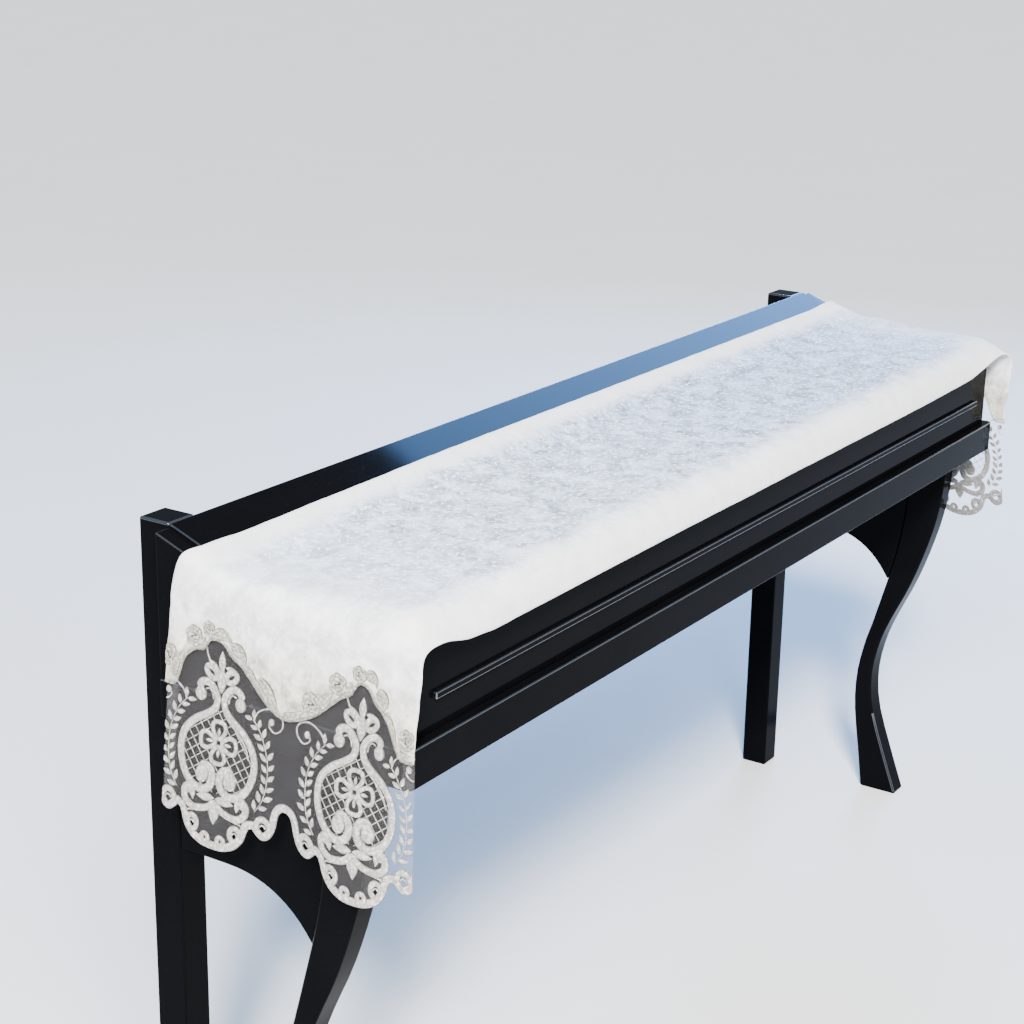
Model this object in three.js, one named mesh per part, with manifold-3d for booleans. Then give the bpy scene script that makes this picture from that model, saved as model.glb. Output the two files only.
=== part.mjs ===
// A piano keyboard cover: a velvet runner with embroidered tulle ends, draped over a plain key shelf.
import * as THREE from 'three';
import { mergeVertices } from 'three/addons/utils/BufferGeometryUtils.js';
import Module from 'manifold-3d';

const wasm = await Module();
wasm.setup();

// Driving dimensions, in millimetres. In the shelf's own frame x runs along the keys,
// y runs back from the face of the front rail, and z runs up from the underside of the lid.

// Key shelf
const LID_UNDERSIDE_HEIGHT = 740;
const HALF_LENGTH = 740;
const PIECE_GAP = 0.3;
const LID = {
  top: 34, flatBack: 214, noseStart: 16, noseReach: 30, noseFall: 26, noseSteps: 7, lip: 5, endRound: 2,
};
const STRIP = { back: 312, height: 70 };
const RAIL = { thickness: 22, height: 95 };
const BEAD = { below: 56, height: 8, proud: 5, halfLength: 708 };
const BED = { thickness: 43, ledge: 12, halfLength: 762, cornerRadius: 9 };
// A cheek's top is low beside the lid, then rises to lie a little under the strip's slope.
const CHEEK = { outer: 761, front: 4, lowBack: 140, riseBack: 184, underStrip: 4.2 };
const POST = { width: 40, depth: 42 };
const LEG = { thickness: 36, inset: 5, steps: 26 };
const BRACKET = {
  thickness: 18, inset: 1, underBed: 163, footUnderBed: 234, curveBack: 246, curvePull: 166,
};

// Side view of a front leg: how far under the bed, where its front edge lies, and how deep it is.
const LEG_SECTIONS = [
  { under: 0, front: 42, depth: 58 },
  { under: 60, front: 43, depth: 56 },
  { under: 120, front: 51, depth: 52 },
  { under: 180, front: 67, depth: 45 },
  { under: 240, front: 88, depth: 39 },
  { under: 300, front: 115, depth: 28 },
  { under: 345, front: 131, depth: 25 },
  { under: 400, front: 140, depth: 26 },
  { under: 460, front: 134, depth: 32 },
  { under: 540, front: 106, depth: 48 },
  { under: 597, front: 84, depth: 62 },
];

// Cover: cloth thicknesses and how it lies on the lid
const COVER_WIDTH = 322;
const VELVET = 1.8;
const TULLE = 1.0;
const RELIEF = 1.2;
const CLOTH_CLEARANCE = 0.5;
const EDGE_CLEARANCE = 3.2;
// Over the hollow between lid and sloping strip the cloth bridges a little, measured along y.
const BRIDGE = { reach: 28, shareOnStrip: 0.36, shareOnLid: 0.06 };
// In front of the nose the cloth hangs free: measured down from the nose's foot.
const HANG = { from: 14, to: 56, swing: 0.8 };
// Points of the cloth's section on each stretch, and where its nose starts, as a share of the turn.
const SECTION = { slope: 4, flat: 5, nose: 6, noseFrom: 0.15, hanging: 3, divisions: 1600 };
const BACK_SELVAGE = 40;
const SEAM_GAP = 0.5;

// The ends: a soft fold over the lid's end, then a drop that swings a little outwards.
const FOLD_START = 733;
const FOLD_RADIUS = 36;
const FOLD_LENGTH = FOLD_RADIUS * Math.PI / 2;
const DROP = { length: 276, back: 290, startBack: 4, startFront: -7, flare: 22, flarePower: 1.25 };
// The fold is tight on the cheek at the back and round in front: the power of its superellipse.
const FULLNESS = { back: 6, front: 2, from: 85, to: 170 };
// How far round a tight fold the cloth starts to fall and to swing into the line of the drop.
const FOLD_WAIT = { fall: 28, swing: 10 };
// Before the fold the front edge already spreads towards the corner.
const CORNER = { start: 620, across: 236, share: 0.55 };

// The runner lies a little askew: how far its back and front edges have slipped forwards along the lid.
const SLIPS = [
  { x: -733, back: 12, front: 9.5 },
  { x: -702, back: 11, front: 10.5 },
  { x: -640, back: 10.3, front: 2.2 },
  { x: -540, back: 8.4, front: 1.2 },
  { x: -300, back: 5.5, front: 0.2 },
  { x: 400, back: 5.5, front: 0.4 },
  { x: 733, back: 5.5, front: -2.5 },
];

// Soft swells where the cloth lies loose on the lid.
const SWELLS = [
  { x: -560, across: 60, height: 2.4, alongReach: 120, acrossReach: 34 },
  { x: -250, across: 250, height: 1.5, alongReach: 190, acrossReach: 30 },
  { x: 130, across: 70, height: 1.8, alongReach: 210, acrossReach: 30 },
  { x: 470, across: 240, height: 1.4, alongReach: 160, acrossReach: 34 },
  { x: 700, across: 92, height: 3.0, alongReach: 90, acrossReach: 30 },
];
const FOLD_LIFT = { start: 680, height: 2.8 };

// Standing waves in each drop, strongest at the hem.
const WAVES = {
  left: [
    { length: 210, depth: 3.6, phase: 0.6 },
    { length: 124, depth: 1.0, phase: 2.1 },
  ],
  right: [
    { length: 190, depth: 4.0, phase: 2.4 },
    { length: 131, depth: 1.1, phase: 0.3 },
  ],
};

// How far forwards a drop sways: at the back selvage, on both motifs' axes and at the front selvage.
const SWAYS = [
  { down: 0, back: 6, first: 4, second: 3.5, front: 0 },
  { down: 30, back: 4, first: 4, second: 4, front: -2.5 },
  { down: 62, back: 1, first: 4, second: 3, front: -5 },
  { down: 95, back: 0, first: 3.5, second: 1.5, front: -6.5 },
  { down: 140, back: 0, first: 2, second: -1.5, front: -5.5 },
  { down: 190, back: 0, first: -1, second: -1, front: -3.5 },
  { down: 245, back: 0, first: -2, second: 3.5, front: 0 },
];

// Lace: two repeats side by side, measured from a motif's axis and down from the end of the fold.
const REPEAT = 180;
const FIRST_AXIS = 70;
const AXES = [FIRST_AXIS, FIRST_AXIS + REPEAT];
const LACE_OVERLAP = 8;
const BRAID_WIDTH = 9;
const HEM_STEPS = 66;
const BORDER = {
  width: 22, rise: 11.5, pitch: 25, edge: 0.8, crown: 2.4, bulge: 0.16, samples: 64, stations: 51,
};
// How far the border's line is evened along the edge, and how far from a selvage it swings upright.
const BORDER_LINE = { evened: 12, upright: 34 };
const BORDER_CROWN = [0, 0.75, 1, 0.75, 0];
const BEND_STEP = { across: 27, down: 80 };
const WELD_STEP = 0.004;

// The velvet's arched edge: across, down.
const ARCH_EDGE = [
  [0, 91], [14, 90.5], [17.5, 81], [18.5, 70.5], [21.5, 61], [27, 53.5], [36, 46], [48.5, 43.8],
  [51.5, 38], [54, 32], [62, 29.6], [70, 29.8], [77, 33], [82.5, 41.5], [90, 45.9], [98, 49.5],
  [106.5, 57.8], [125.2, 76], [134.7, 83.7], [145.3, 89.3], [157, 90.6], [168.5, 88], [180, 83.2],
  [195.7, 74], [216.9, 54.7], [226.1, 46.7], [236.5, 42], [240, 32.5], [246.4, 26.6], [254, 27.4],
  [261.6, 33.3], [266.5, 43], [279.6, 50.9], [286.8, 59.8], [300.8, 84.5], [306, 92], [COVER_WIDTH, 92],
];

// Centre line of the braid along the scalloped hem, for half a repeat.
const HEM_LINE = [
  { out: 0, down: 257 },
  { out: 15, down: 255.5 },
  { out: 29, down: 249 },
  { out: 38.5, down: 238 },
  { out: 43, down: 226 },
  { out: 47, down: 220 },
  { out: 52, down: 224 },
  { out: 59, down: 229 },
  { out: 67, down: 228 },
  { out: 74, down: 221 },
  { out: 78.5, down: 210 },
  { out: 81, down: 199 },
  { out: 85, down: 192.5 },
  { out: 90, down: 191 },
];

// Half of the medallion: from the neck round the side to the scroll inside its foot.
const MEDALLION_LINE = [
  { out: 4.6, down: 93 },
  { out: 6.5, down: 103 },
  { out: 16, down: 112 },
  { out: 31, down: 122 },
  { out: 43, down: 136 },
  { out: 47.5, down: 153 },
  { out: 45, down: 171 },
  { out: 36, down: 187 },
  { out: 21, down: 195 },
  { out: 9, down: 191 },
  { out: 4.6, down: 180 },
  { out: 8, down: 170 },
  { out: 15.5, down: 167.5 },
  { out: 20, down: 171 },
];
const VOLUTE_LINE = [
  { out: 4.2, down: 99 },
  { out: 4.6, down: 91.5 },
  { out: 8.5, down: 84 },
  { out: 16.5, down: 78.3 },
  { out: 24.5, down: 80.3 },
  { out: 28, down: 87 },
];
const SWAG_LINE = [
  { out: 35, down: 195 },
  { out: 40, down: 201 },
  { out: 38, down: 210.5 },
  { out: 28, down: 216.5 },
  { out: 15, down: 215 },
  { out: 6.5, down: 211 },
  { out: 1, down: 204 },
];
const SPRAY_LINE = [
  { out: 43, down: 103 },
  { out: 54, down: 117 },
  { out: 63, down: 140 },
  { out: 64.5, down: 166 },
  { out: 60, down: 187 },
  { out: 51, down: 201 },
];
const BANDS = [
  { line: MEDALLION_LINE, start: 8.4, end: 9.8, steps: 21 },
  { line: VOLUTE_LINE, start: 8.2, end: 11, steps: 8 },
  { line: SWAG_LINE, start: 9, end: 7.6, steps: 8 },
];

// Ringed eyelets, open through the tulle: centre, and half-sizes of the ring and of its hole.
const EYELETS = [
  { out: 62, down: 216, wide: 12, high: 12.5, holeWide: 4.2, holeHigh: 5.6 },
  { out: 28, down: 234, wide: 10, high: 10.5, holeWide: 3.2, holeHigh: 4.6 },
];
// Padded ovals beside them and in the crown.
const OVALS = [
  { out: 10, down: 246, wide: 7, high: 7 },
  { out: 12.8, down: 66.5, wide: 10, high: 9.2 },
  { out: 25.2, down: 92.4, wide: 7.8, high: 8 },
  { out: 18, down: 178, wide: 8.8, high: 9.8 },
];
const OVAL_SIDES = 8;

// Single leaves of a motif: root, length, width, and lean from straight down.
const PETALS = [
  { out: 0, down: 87, length: 31, width: 12, lean: 180 },
  { out: 0, down: 64, length: 23, width: 9.6, lean: 180 },
  { out: 0, down: 202, length: 28, width: 15, lean: 0 },
  { out: 0.5, down: 201, length: 24, width: 10, lean: 86 },
  { out: 31, down: 192.5, length: 17, width: 8.5, lean: -10 },
];
const LEAF_BELLY = 0.45;
const SPRAY = { pairs: 8, length: 13, stem: 1.2, lean: 38 };
const FLOWER = { down: 143, petals: 4, reach: 25, waist: 13, pointsPerPetal: 6 };

const smooth = (t) => THREE.MathUtils.smoothstep(t, 0, 1);
const straight = (t) => THREE.MathUtils.clamp(t, 0, 1);
const { lerp } = THREE.MathUtils;

// A value read from a table, with its way from one row to the next.
function read(rows, place, value, at, way) {
  const found = rows.findIndex((row) => row[place] >= at);
  const next = found < 0 ? rows.length - 1 : Math.max(1, found);
  const [before, after] = [rows[next - 1], rows[next]];
  const share = (at - before[place]) / (after[place] - before[place]);
  return lerp(before[value], after[value], way(share));
}

// Looks
const finish = (color, roughness) => new THREE.MeshStandardMaterial({ color, roughness, metalness: 0 });
const lacquer = () => finish(0x0b0c0f, 0.12);
const velvetCloth = () => finish(0xe9e8e6, 0.75);
const laceCloth = () => finish(0xdcd8cf, 0.85);
const borderCloth = () => finish(0xe4e0d6, 0.8);

function namedMesh(name, geometry, material) {
  const mesh = new THREE.Mesh(geometry, material);
  mesh.name = name;
  return mesh;
}

// A side view (y, z) carried along x from one end to the other.
const SIDE_VIEW = new THREE.Matrix4().makeBasis(
  new THREE.Vector3(0, 1, 0),
  new THREE.Vector3(0, 0, 1),
  new THREE.Vector3(1, 0, 0),
);

function alongX(shape, from, to, options = { bevelEnabled: false }) {
  const geometry = new THREE.ExtrudeGeometry(shape, { depth: to - from, ...options });
  geometry.applyMatrix4(SIDE_VIEW);
  geometry.translate(from, 0, 0);
  return geometry;
}

function rectangle(left, bottom, right, top) {
  return new THREE.Shape([
    new THREE.Vector2(left, bottom),
    new THREE.Vector2(right, bottom),
    new THREE.Vector2(right, top),
    new THREE.Vector2(left, top),
  ]);
}

function between(from, to, count, curve) {
  return Array.from({ length: count + 1 }, (_, i) => curve(lerp(from, to, i / count)));
}

// Key lid: a flat board with a long rounded nose.
function keyLid() {
  const nose = between(0, Math.PI / 2, LID.noseSteps, (turn) => new THREE.Vector2(
    LID.noseStart - LID.noseReach * Math.sin(turn),
    LID.top - LID.noseFall + LID.noseFall * Math.cos(turn),
  ));
  const front = LID.noseStart - LID.noseReach;
  const shape = new THREE.Shape([
    new THREE.Vector2(LID.flatBack, 0),
    new THREE.Vector2(LID.flatBack, LID.top),
    ...nose,
    new THREE.Vector2(front, LID.lip),
    new THREE.Vector2(front + LID.lip, 0),
  ]);
  const rounded = {
    bevelEnabled: true,
    bevelThickness: LID.endRound,
    bevelSize: LID.endRound,
    bevelOffset: -LID.endRound,
    bevelSegments: 2,
  };
  const half = HALF_LENGTH - LID.endRound;
  return namedMesh('key_lid', alongX(shape, -half, half, rounded), lacquer());
}

function backStrip() {
  const front = LID.flatBack + PIECE_GAP;
  const shape = new THREE.Shape([
    new THREE.Vector2(front, 0),
    new THREE.Vector2(STRIP.back, 0),
    new THREE.Vector2(STRIP.back, STRIP.height),
    new THREE.Vector2(front, LID.top),
  ]);
  return namedMesh('lid_back_strip', alongX(shape, -HALF_LENGTH, HALF_LENGTH), lacquer());
}

function frontRail() {
  const shape = rectangle(0, -RAIL.height, RAIL.thickness, -PIECE_GAP);
  return namedMesh('front_rail', alongX(shape, -HALF_LENGTH, HALF_LENGTH), lacquer());
}

// Flat bead planted on the front rail.
function railBead() {
  const bottom = -BEAD.below - BEAD.height / 2;
  const shape = rectangle(-PIECE_GAP - BEAD.proud, bottom, -PIECE_GAP, bottom + BEAD.height);
  return namedMesh('rail_bead', alongX(shape, -BEAD.halfLength, BEAD.halfLength), lacquer());
}

// Key bed: the base board, with a ledge and rounded corners in front.
const BED_TOP = -RAIL.height - PIECE_GAP;
const BED_BOTTOM = BED_TOP - BED.thickness;
function keyBed() {
  const shape = new THREE.Shape();
  const side = BED.halfLength;
  const corner = BED.cornerRadius;
  shape.moveTo(side, STRIP.back);
  shape.lineTo(-side, STRIP.back);
  shape.lineTo(-side, -BED.ledge + corner);
  shape.absarc(-side + corner, -BED.ledge + corner, corner, Math.PI, Math.PI * 1.5, false);
  shape.absarc(side - corner, -BED.ledge + corner, corner, Math.PI * 1.5, Math.PI * 2, false);
  const geometry = new THREE.ExtrudeGeometry(shape, {
    depth: BED.thickness,
    bevelEnabled: false,
    curveSegments: 6,
  });
  geometry.translate(0, 0, BED_BOTTOM);
  return namedMesh('key_bed', geometry, lacquer());
}

// Boards that close the box between bed and lid: the cheeks stand outside the lid's ends.
function cheek(side, name) {
  const { underStrip } = CHEEK;
  const shape = new THREE.Shape([
    new THREE.Vector2(CHEEK.front, -RAIL.height),
    new THREE.Vector2(STRIP.back, -RAIL.height),
    new THREE.Vector2(STRIP.back, STRIP.height - underStrip),
    new THREE.Vector2(LID.flatBack, LID.top - underStrip),
    new THREE.Vector2(CHEEK.riseBack, LID.top - underStrip),
    new THREE.Vector2(CHEEK.lowBack, 0),
    new THREE.Vector2(CHEEK.front, 0),
  ]);
  const inner = HALF_LENGTH + PIECE_GAP;
  const [from, to] = side < 0 ? [-CHEEK.outer, -inner] : [inner, CHEEK.outer];
  return namedMesh(name, alongX(shape, from, to), lacquer());
}

function backRail() {
  const shape = rectangle(STRIP.back - RAIL.thickness, -RAIL.height, STRIP.back, -PIECE_GAP);
  return namedMesh('back_rail', alongX(shape, -HALF_LENGTH, HALF_LENGTH), lacquer());
}

function rearPost(side, name) {
  const shape = rectangle(
    STRIP.back + PIECE_GAP,
    -LID_UNDERSIDE_HEIGHT,
    STRIP.back + PIECE_GAP + POST.depth,
    STRIP.height,
  );
  const from = side < 0 ? -HALF_LENGTH : HALF_LENGTH - POST.width;
  return namedMesh(name, alongX(shape, from, from + POST.width), lacquer());
}

// Front legs: the front and back edges of the side view, from the bed to the floor.
const LEG_TOP = BED_BOTTOM - PIECE_GAP;
const LEG_HEIGHT = LID_UNDERSIDE_HEIGHT + LEG_TOP;
const legScale = LEG_HEIGHT / LEG_SECTIONS[LEG_SECTIONS.length - 1].under;
const legEdge = (share) => new THREE.SplineCurve(LEG_SECTIONS.map((row) => new THREE.Vector2(
  row.front + row.depth * share,
  LEG_TOP - row.under * legScale,
))).getPoints(LEG.steps);
const legFront = legEdge(0);
const legBack = legEdge(1);

function frontLeg(side, name) {
  const shape = new THREE.Shape([...legFront, ...legBack.slice().reverse()]);
  const outer = BED.halfLength - LEG.inset;
  const from = side < 0 ? -outer : outer - LEG.thickness;
  return namedMesh(name, alongX(shape, from, from + LEG.thickness), lacquer());
}

// Bracket: a board between leg and post, with an arched lower edge.
function legBracket(side, name) {
  const shape = new THREE.Shape();
  const lower = LEG_TOP - BRACKET.underBed;
  const foot = LEG_TOP - BRACKET.footUnderBed;
  const besideLeg = legBack.filter((point) => point.y > foot);
  shape.moveTo(STRIP.back, LEG_TOP);
  for (const point of besideLeg) {
    shape.lineTo(point.x + 2 * PIECE_GAP, point.y);
  }
  shape.quadraticCurveTo(BRACKET.curvePull, lower, BRACKET.curveBack, lower);
  shape.lineTo(STRIP.back, lower);
  const outer = HALF_LENGTH - BRACKET.inset;
  const from = side < 0 ? -outer : outer - BRACKET.thickness;
  return namedMesh(name, alongX(shape, from, from + BRACKET.thickness), lacquer());
}

// Where the underside of the cover lies on the lid's section, from back to front.
function coverSection() {
  const slope = (STRIP.height - LID.top) / (STRIP.back - LID.flatBack);
  const flat = LID.top + CLOTH_CLEARANCE;
  const onSlope = (y) => new THREE.Vector2(y, flat + slope * (y - LID.flatBack) + CLOTH_CLEARANCE * slope);
  const onFlat = (y) => new THREE.Vector2(y, flat);
  const nose = between(SECTION.noseFrom, 1, SECTION.nose, (share) => {
    const turn = share * Math.PI / 2;
    const clear = lerp(CLOTH_CLEARANCE, EDGE_CLEARANCE, Math.sqrt(share));
    return new THREE.Vector2(
      LID.noseStart - (LID.noseReach + clear) * Math.sin(turn),
      LID.top - LID.noseFall + (LID.noseFall + clear) * Math.cos(turn),
    );
  });
  const front = LID.noseStart - LID.noseReach - EDGE_CLEARANCE;
  const noseFoot = LID.top - LID.noseFall;
  const hangAt = (below) => new THREE.Vector2(front - HANG.swing, noseFoot - below);
  const { reach } = BRIDGE;
  return new THREE.SplineCurve([
    ...between(STRIP.back, LID.flatBack + reach, SECTION.slope, onSlope),
    new THREE.Vector2(LID.flatBack + reach / 4, flat + slope * reach * BRIDGE.shareOnStrip),
    new THREE.Vector2(LID.flatBack - reach / 2, flat + slope * reach * BRIDGE.shareOnLid),
    ...between(LID.flatBack - reach, LID.noseStart + reach / 2, SECTION.flat, onFlat),
    ...nose,
    ...between(HANG.from, HANG.to, SECTION.hanging, hangAt),
  ]);
}
const section = coverSection();
section.arcLengthDivisions = SECTION.divisions;
const sectionLength = section.getLength();

function swellAt(x, across) {
  const lift = FOLD_LIFT.height * smooth((Math.abs(x) - FOLD_LIFT.start) / (FOLD_START - FOLD_LIFT.start));
  const bump = (row) => row.height * Math.exp(
    -(((x - row.x) / row.alongReach) ** 2) - ((across - row.across) / row.acrossReach) ** 2,
  );
  return SWELLS.reduce((sum, row) => sum + bump(row), lift);
}

function overLid(x, across) {
  const slipOf = (edge) => read(SLIPS, 'x', edge, x, smooth);
  const slip = lerp(slipOf('back'), slipOf('front'), across / COVER_WIDTH);
  const along = BACK_SELVAGE + slip + across;
  const point = section.getPointAt(along / sectionLength);
  return { y: point.x, z: point.y + swellAt(x, across) };
}

function outward(side, across, down) {
  const share = down / DROP.length;
  const waves = side < 0 ? WAVES.left : WAVES.right;
  const wave = waves.reduce(
    (sum, row) => sum + row.depth * Math.sin(2 * Math.PI * across / row.length + row.phase),
    0,
  );
  return DROP.flare * share ** DROP.flarePower + wave * smooth(share);
}

function swayAt(across, down) {
  const swayOf = (place) => read(SWAYS, 'down', place, down, smooth);
  const rows = [
    { across: 0, forward: swayOf('back') },
    { across: AXES[0], forward: swayOf('first') },
    { across: AXES[1], forward: swayOf('second') },
    { across: COVER_WIDTH, forward: swayOf('front') },
  ];
  return read(rows, 'across', 'forward', across, smooth);
}

// How far along and down a fold goes, as shares of its radius.
const tightness = (across) => smooth((FULLNESS.to - across) / (FULLNESS.to - FULLNESS.from));
function foldAt(turn, across) {
  const power = lerp(FULLNESS.front, FULLNESS.back, tightness(across));
  const [sin, cos] = [Math.sin(turn), Math.cos(turn)];
  const bulge = (sin ** power + cos ** power) ** (-1 / power);
  return { along: bulge * sin, down: 1 - bulge * cos };
}

// Underside of the cover at a place on the flat cloth: along it from the middle, across it from the back.
function coverPoint(along, across) {
  const side = along < 0 ? -1 : 1;
  const far = Math.min(Math.abs(along), FOLD_START);
  const past = Math.abs(along) - far;
  const top = overLid(side * far, across);
  const turn = Math.min(past / FOLD_RADIUS, Math.PI / 2);
  const down = Math.max(past - FOLD_LENGTH, 0);
  const toFront = smooth((across - CORNER.across) / (COVER_WIDTH - CORNER.across));
  const lead = CORNER.share * toFront * smooth((far - CORNER.start) / (FOLD_START - CORNER.start));
  const easeAfter = (most) => {
    const wait = most * tightness(across);
    return lead + (1 - lead) * smooth((past - wait) / (FOLD_LENGTH - wait));
  };
  const start = lerp(DROP.startBack, DROP.startFront, across / COVER_WIDTH) + FOLD_RADIUS;
  const fold = foldAt(turn, across);
  const reach = far + FOLD_RADIUS * fold.along + outward(side, across, down);
  return new THREE.Vector3(
    side * reach,
    lerp(top.y, DROP.back - across - swayAt(across, down), easeAfter(FOLD_WAIT.swing)),
    lerp(top.z, start, easeAfter(FOLD_WAIT.fall)) - FOLD_RADIUS * fold.down - down,
  );
}

// The same place, raised towards the face of the cloth.
const PROBE = 0.5;
function raisedPoint(along, across, height) {
  const slopeAlong = coverPoint(along + PROBE, across).sub(coverPoint(along - PROBE, across));
  const slopeAcross = coverPoint(along, across + PROBE).sub(coverPoint(along, across - PROBE));
  const normal = slopeAcross.cross(slopeAlong).normalize();
  return coverPoint(along, across).addScaledVector(normal, height);
}

const dropAlong = (side, down) => side * (FOLD_START + FOLD_LENGTH + down);

// Lower edge of the velvet: an arch over each motif.
const archEdge = (across) => read(ARCH_EDGE, 0, 1, across, straight);

// The same edge with its tight bends evened out, for the strip that is sewn along it.
function evenedEdge(across) {
  const reach = BORDER_LINE.evened;
  const near = [-1, -0.5, 0, 0.5, 1].map((step) => (
    archEdge(THREE.MathUtils.clamp(across + step * reach, 0, COVER_WIDTH))
  ));
  return near.reduce((sum, down) => sum + down) / near.length;
}

// A closed sheet from two grids of points, with its rim.
function closedSheet(rows, columns, faceAt, backAt) {
  const positions = [];
  const indices = [];
  const place = (grid, i, j) => grid * rows * columns + i * columns + j;
  for (const pointAt of [faceAt, backAt]) {
    for (let i = 0; i < rows; i += 1) {
      for (let j = 0; j < columns; j += 1) {
        positions.push(...pointAt(i, j).toArray());
      }
    }
  }
  const quad = (a, b, c, d) => indices.push(a, b, c, a, c, d);
  for (let i = 0; i + 1 < rows; i += 1) {
    for (let j = 0; j + 1 < columns; j += 1) {
      quad(place(0, i, j), place(0, i, j + 1), place(0, i + 1, j + 1), place(0, i + 1, j));
      quad(place(1, i, j), place(1, i + 1, j), place(1, i + 1, j + 1), place(1, i, j + 1));
    }
  }
  const last = { i: rows - 1, j: columns - 1 };
  for (let i = 0; i < last.i; i += 1) {
    quad(place(0, i, 0), place(0, i + 1, 0), place(1, i + 1, 0), place(1, i, 0));
    quad(place(0, i + 1, last.j), place(0, i, last.j), place(1, i, last.j), place(1, i + 1, last.j));
  }
  for (let j = 0; j < last.j; j += 1) {
    quad(place(0, 0, j + 1), place(0, 0, j), place(1, 0, j), place(1, 0, j + 1));
    quad(place(0, last.i, j), place(0, last.i, j + 1), place(1, last.i, j + 1), place(1, last.i, j));
  }
  const geometry = new THREE.BufferGeometry();
  geometry.setAttribute('position', new THREE.Float32BufferAttribute(positions, 3));
  geometry.setIndex(indices);
  return geometry;
}

function turnInsideOut(geometry) {
  const index = geometry.getIndex();
  for (let i = 0; i < index.count; i += 3) {
    const kept = index.getX(i);
    index.setX(i, index.getX(i + 1));
    index.setX(i + 1, kept);
  }
  return geometry;
}

// Velvet panel: rows along the runner, from the left arches over the lid to the right arches.
const VELVET_GRID = { lidStations: [0, 190, 380, 540, 620, 660, 700], foldRows: 5, dropRows: 3 };
function velvetPanel() {
  const { lidStations, foldRows, dropRows } = VELVET_GRID;
  const foldEnd = FOLD_START + FOLD_LENGTH;
  const half = [
    ...lidStations.map((along) => ({ along, share: 0 })),
    ...between(FOLD_START, foldEnd, foldRows, (along) => ({ along, share: 0 })),
    ...between(0, 1, dropRows, (share) => ({ along: foldEnd, share })).slice(1),
  ];
  const stations = [
    ...half.slice(1).reverse().map((row) => ({ ...row, side: -1 })),
    ...half.map((row) => ({ ...row, side: 1 })),
  ];
  const at = (height) => (i, j) => {
    const row = stations[i];
    const [across, edge] = ARCH_EDGE[j];
    return raisedPoint(row.side * (row.along + row.share * edge), across, height);
  };
  const geometry = closedSheet(stations.length, ARCH_EDGE.length, at(VELVET), at(0));
  return namedMesh('velvet_panel', geometry, velvetCloth());
}

// Rosette border: a strip of low domes sewn over the velvet's arched edge.
function rosetteBorder(side, name) {
  const edge = between(0, COVER_WIDTH, BORDER.samples, (across) => (
    new THREE.Vector2(across, evenedEdge(across))
  ));
  const line = new THREE.SplineCurve(edge);
  const length = line.getLength();
  const under = VELVET + PIECE_GAP;
  const stationAt = (i, j) => {
    const share = i / (BORDER.stations - 1);
    const point = line.getPointAt(share);
    const tangent = line.getTangentAt(share);
    const dome = Math.abs(Math.sin(Math.PI * share * length / BORDER.pitch));
    const half = BORDER.width / 2 * (1 + BORDER.bulge * dome);
    const offset = half * (2 * j / (BORDER_CROWN.length - 1) - 1) - BORDER.rise;
    const square = smooth(Math.min(point.x, COVER_WIDTH - point.x) / BORDER_LINE.upright);
    const across = THREE.MathUtils.clamp(point.x - square * tangent.y * offset, 0, COVER_WIDTH);
    const down = point.y + lerp(1, tangent.x, square) * offset;
    return { across, down, rise: BORDER.crown * dome * BORDER_CROWN[j] };
  };
  const face = (i, j) => {
    const { across, down, rise } = stationAt(i, j);
    return raisedPoint(dropAlong(side, down), across, under + BORDER.edge + rise);
  };
  const back = (i, j) => {
    const { across, down } = stationAt(i, j);
    return raisedPoint(dropAlong(side, down), across, under);
  };
  const geometry = closedSheet(BORDER.stations, BORDER_CROWN.length, face, back);
  return namedMesh(name, side > 0 ? turnInsideOut(geometry) : geometry, borderCloth());
}

// Flat shapes of the lace, in (across, down).
const motifPoint = (axis, hand) => (row) => new THREE.Vector2(axis + hand * row.out, row.down);

function bandShape(points, startWidth, endWidth) {
  const left = [];
  const right = [];
  points.forEach((point, i) => {
    const before = points[Math.max(i - 1, 0)];
    const after = points[Math.min(i + 1, points.length - 1)];
    const step = after.clone().sub(before).normalize();
    const half = lerp(startWidth, endWidth, i / (points.length - 1)) / 2;
    left.push(new THREE.Vector2(point.x - step.y * half, point.y + step.x * half));
    right.push(new THREE.Vector2(point.x + step.y * half, point.y - step.x * half));
  });
  return new THREE.Shape([...left, ...right.reverse()]);
}

function ovalPoints(centre, wide, high) {
  return between(0, OVAL_SIDES - 1, OVAL_SIDES - 1, (step) => {
    const turn = 2 * Math.PI * step / OVAL_SIDES;
    return new THREE.Vector2(centre.x + wide * Math.cos(turn), centre.y + high * Math.sin(turn));
  });
}

function leafShape(root, length, width, leanDegrees) {
  const lean = THREE.MathUtils.degToRad(leanDegrees);
  const tip = new THREE.Vector2(Math.sin(lean), Math.cos(lean));
  const flank = new THREE.Vector2(tip.y, -tip.x).multiplyScalar(width / 2);
  const at = (share) => root.clone().addScaledVector(tip, length * share);
  return new THREE.Shape([at(0), at(LEAF_BELLY).add(flank), at(1), at(LEAF_BELLY).sub(flank)]);
}

function eyeletShape(row, centre) {
  const ring = new THREE.Shape(ovalPoints(centre, row.wide, row.high));
  ring.holes.push(new THREE.Path(ovalPoints(centre, row.holeWide, row.holeHigh)));
  return ring;
}

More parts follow.
